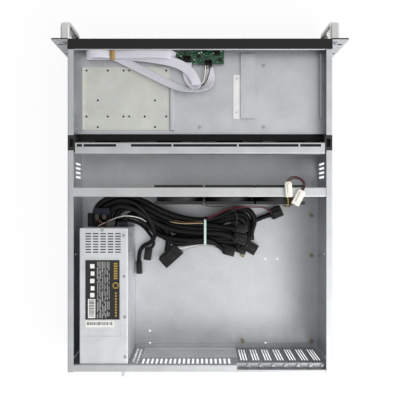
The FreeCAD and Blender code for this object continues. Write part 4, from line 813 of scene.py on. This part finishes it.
golds += [slab((132.6, 142.4), (126, 128), *printed), slab((132.6, 142.4), (134, 136), *printed),
          slab((132.6, 134.4), (126, 136), *printed), slab((140.6, 142.4), (126, 136), *printed)]
for i in range(9):
    golds.append(slab((135.5, 138.5), (142 + 4.6 * i, 145 + 4.6 * i), *printed))
sticker = [slab((140, 186), (188.5, 199), 0, 0.25, 0.1)]
y = 154.5
while y < 182:
    wide = draw.choice((0.6, 0.9, 1.4))
    bars.append(slab((172, 181), (y, y + wide), 0.34, 0.38))
    y += wide + draw.choice((0.8, 1.2))
x = 143.0
while x < 183:
    wide = draw.choice((0.7, 1.0, 1.5))
    bars.append(slab((x, x + wide), (190.5, 195.5), 0.25, 0.29))
    x += wide + draw.choice((0.9, 1.3))
fit(merge("label_lines", lines), grey_ink, "case")
fit(merge("label_blocks", whites), white_film, "case")
fit(merge("label_gold", golds), gold_ink, "case")
fit(merge("label_sticker", sticker), white_film, "case")
fit(merge("label_bars", bars), black_film, "case")

# --- Lid rail's painted slot shade --------------------------------------------------------
# A black strip lies under the slotted edge of the lid rail and closes the slots from below: painted
# shade, so that they look dark from above.

rail_low, rail_high = [corner * 1000 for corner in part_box("lid_rail")]
slot_shade_strip = cube("rail_slot_painted_shade", (rail_low.x + 4, rail_low.y + 1.2, rail_high.z - 4.5),
             (rail_high.x - 4, rail_low.y + 9, rail_high.z - 1.5), 0.5)
fit(slot_shade_strip, black_foam_and_slot_shade, "case")

# --- Screws and board posts ---------------------------------------------------------------
# Zinc-plated pan-head screws with cross recesses hold the slot covers, the handles, the shelf
# and the power supply's cover. Six threaded posts stand on the floor for the board.

screw_zinc = zinc_coat("zinc_plated_screw", "#b9babd", 0.36)


def screw(place, radius, height, backwards=False):
    """A pan head with a cross recess, facing up or to the rear."""
    bpy.ops.object.select_all(action="DESELECT")
    bpy.ops.mesh.primitive_cylinder_add(vertices=28, radius=radius / 1000, depth=height / 1000,
                                        location=(0, 0, height / 2000))
    head = bpy.context.object
    bpy.ops.object.transform_apply(location=True, rotation=True, scale=True)
    dome = head.modifiers.new("dome", "BEVEL")
    dome.width = 0.35 * height / 1000
    dome.segments = 3
    dome.limit_method = "ANGLE"
    bpy.ops.object.modifier_apply(modifier="dome")
    long, wide = radius * 0.62, radius * 0.14
    for a, b in ((long, wide), (wide, long)):
        carve(head, cube("cross", (-a, -b, height * 0.4), (a, b, height + 1)))
    turn = Matrix.Rotation(math.radians(-90 if backwards else 0), 4, "X")
    head.data.transform(Matrix.Translation([c / 1000 for c in place]) @ turn)
    return head


slot_spacing = 20.32
heads = [screw((-78.8 - slot_spacing * i, 263.4, 79.3), 2.9, 2.0) for i in range(7)]
heads += [screw((side * 223.7, -267.8, z), 3.5, 2.4, True) for side in (1, -1) for z in (14.1, 74.0)]
heads += [screw((x, y, 67.0), 2.8, 1.4) for x in (0, -106.7) for y in (-232.3, -129.7)]
fasteners = fit(merge("pan_head_screws", heads), screw_zinc, "case")
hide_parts("screws")
cover_screws = [screw((x, y, psu_top), 2.4, 1.2)
                for x, y in ((158.9, 40.9), (124.2, 49.5), (123.4, 116.3), (122.2, 182.3), (121.7, 247.5))]
fit(merge("psu_cover_screws", cover_screws), screw_zinc, "case")
post_metal = zinc_coat("plated_post", "#b3aa94", 0.4)
dress(post_metal, "board_standoffs")
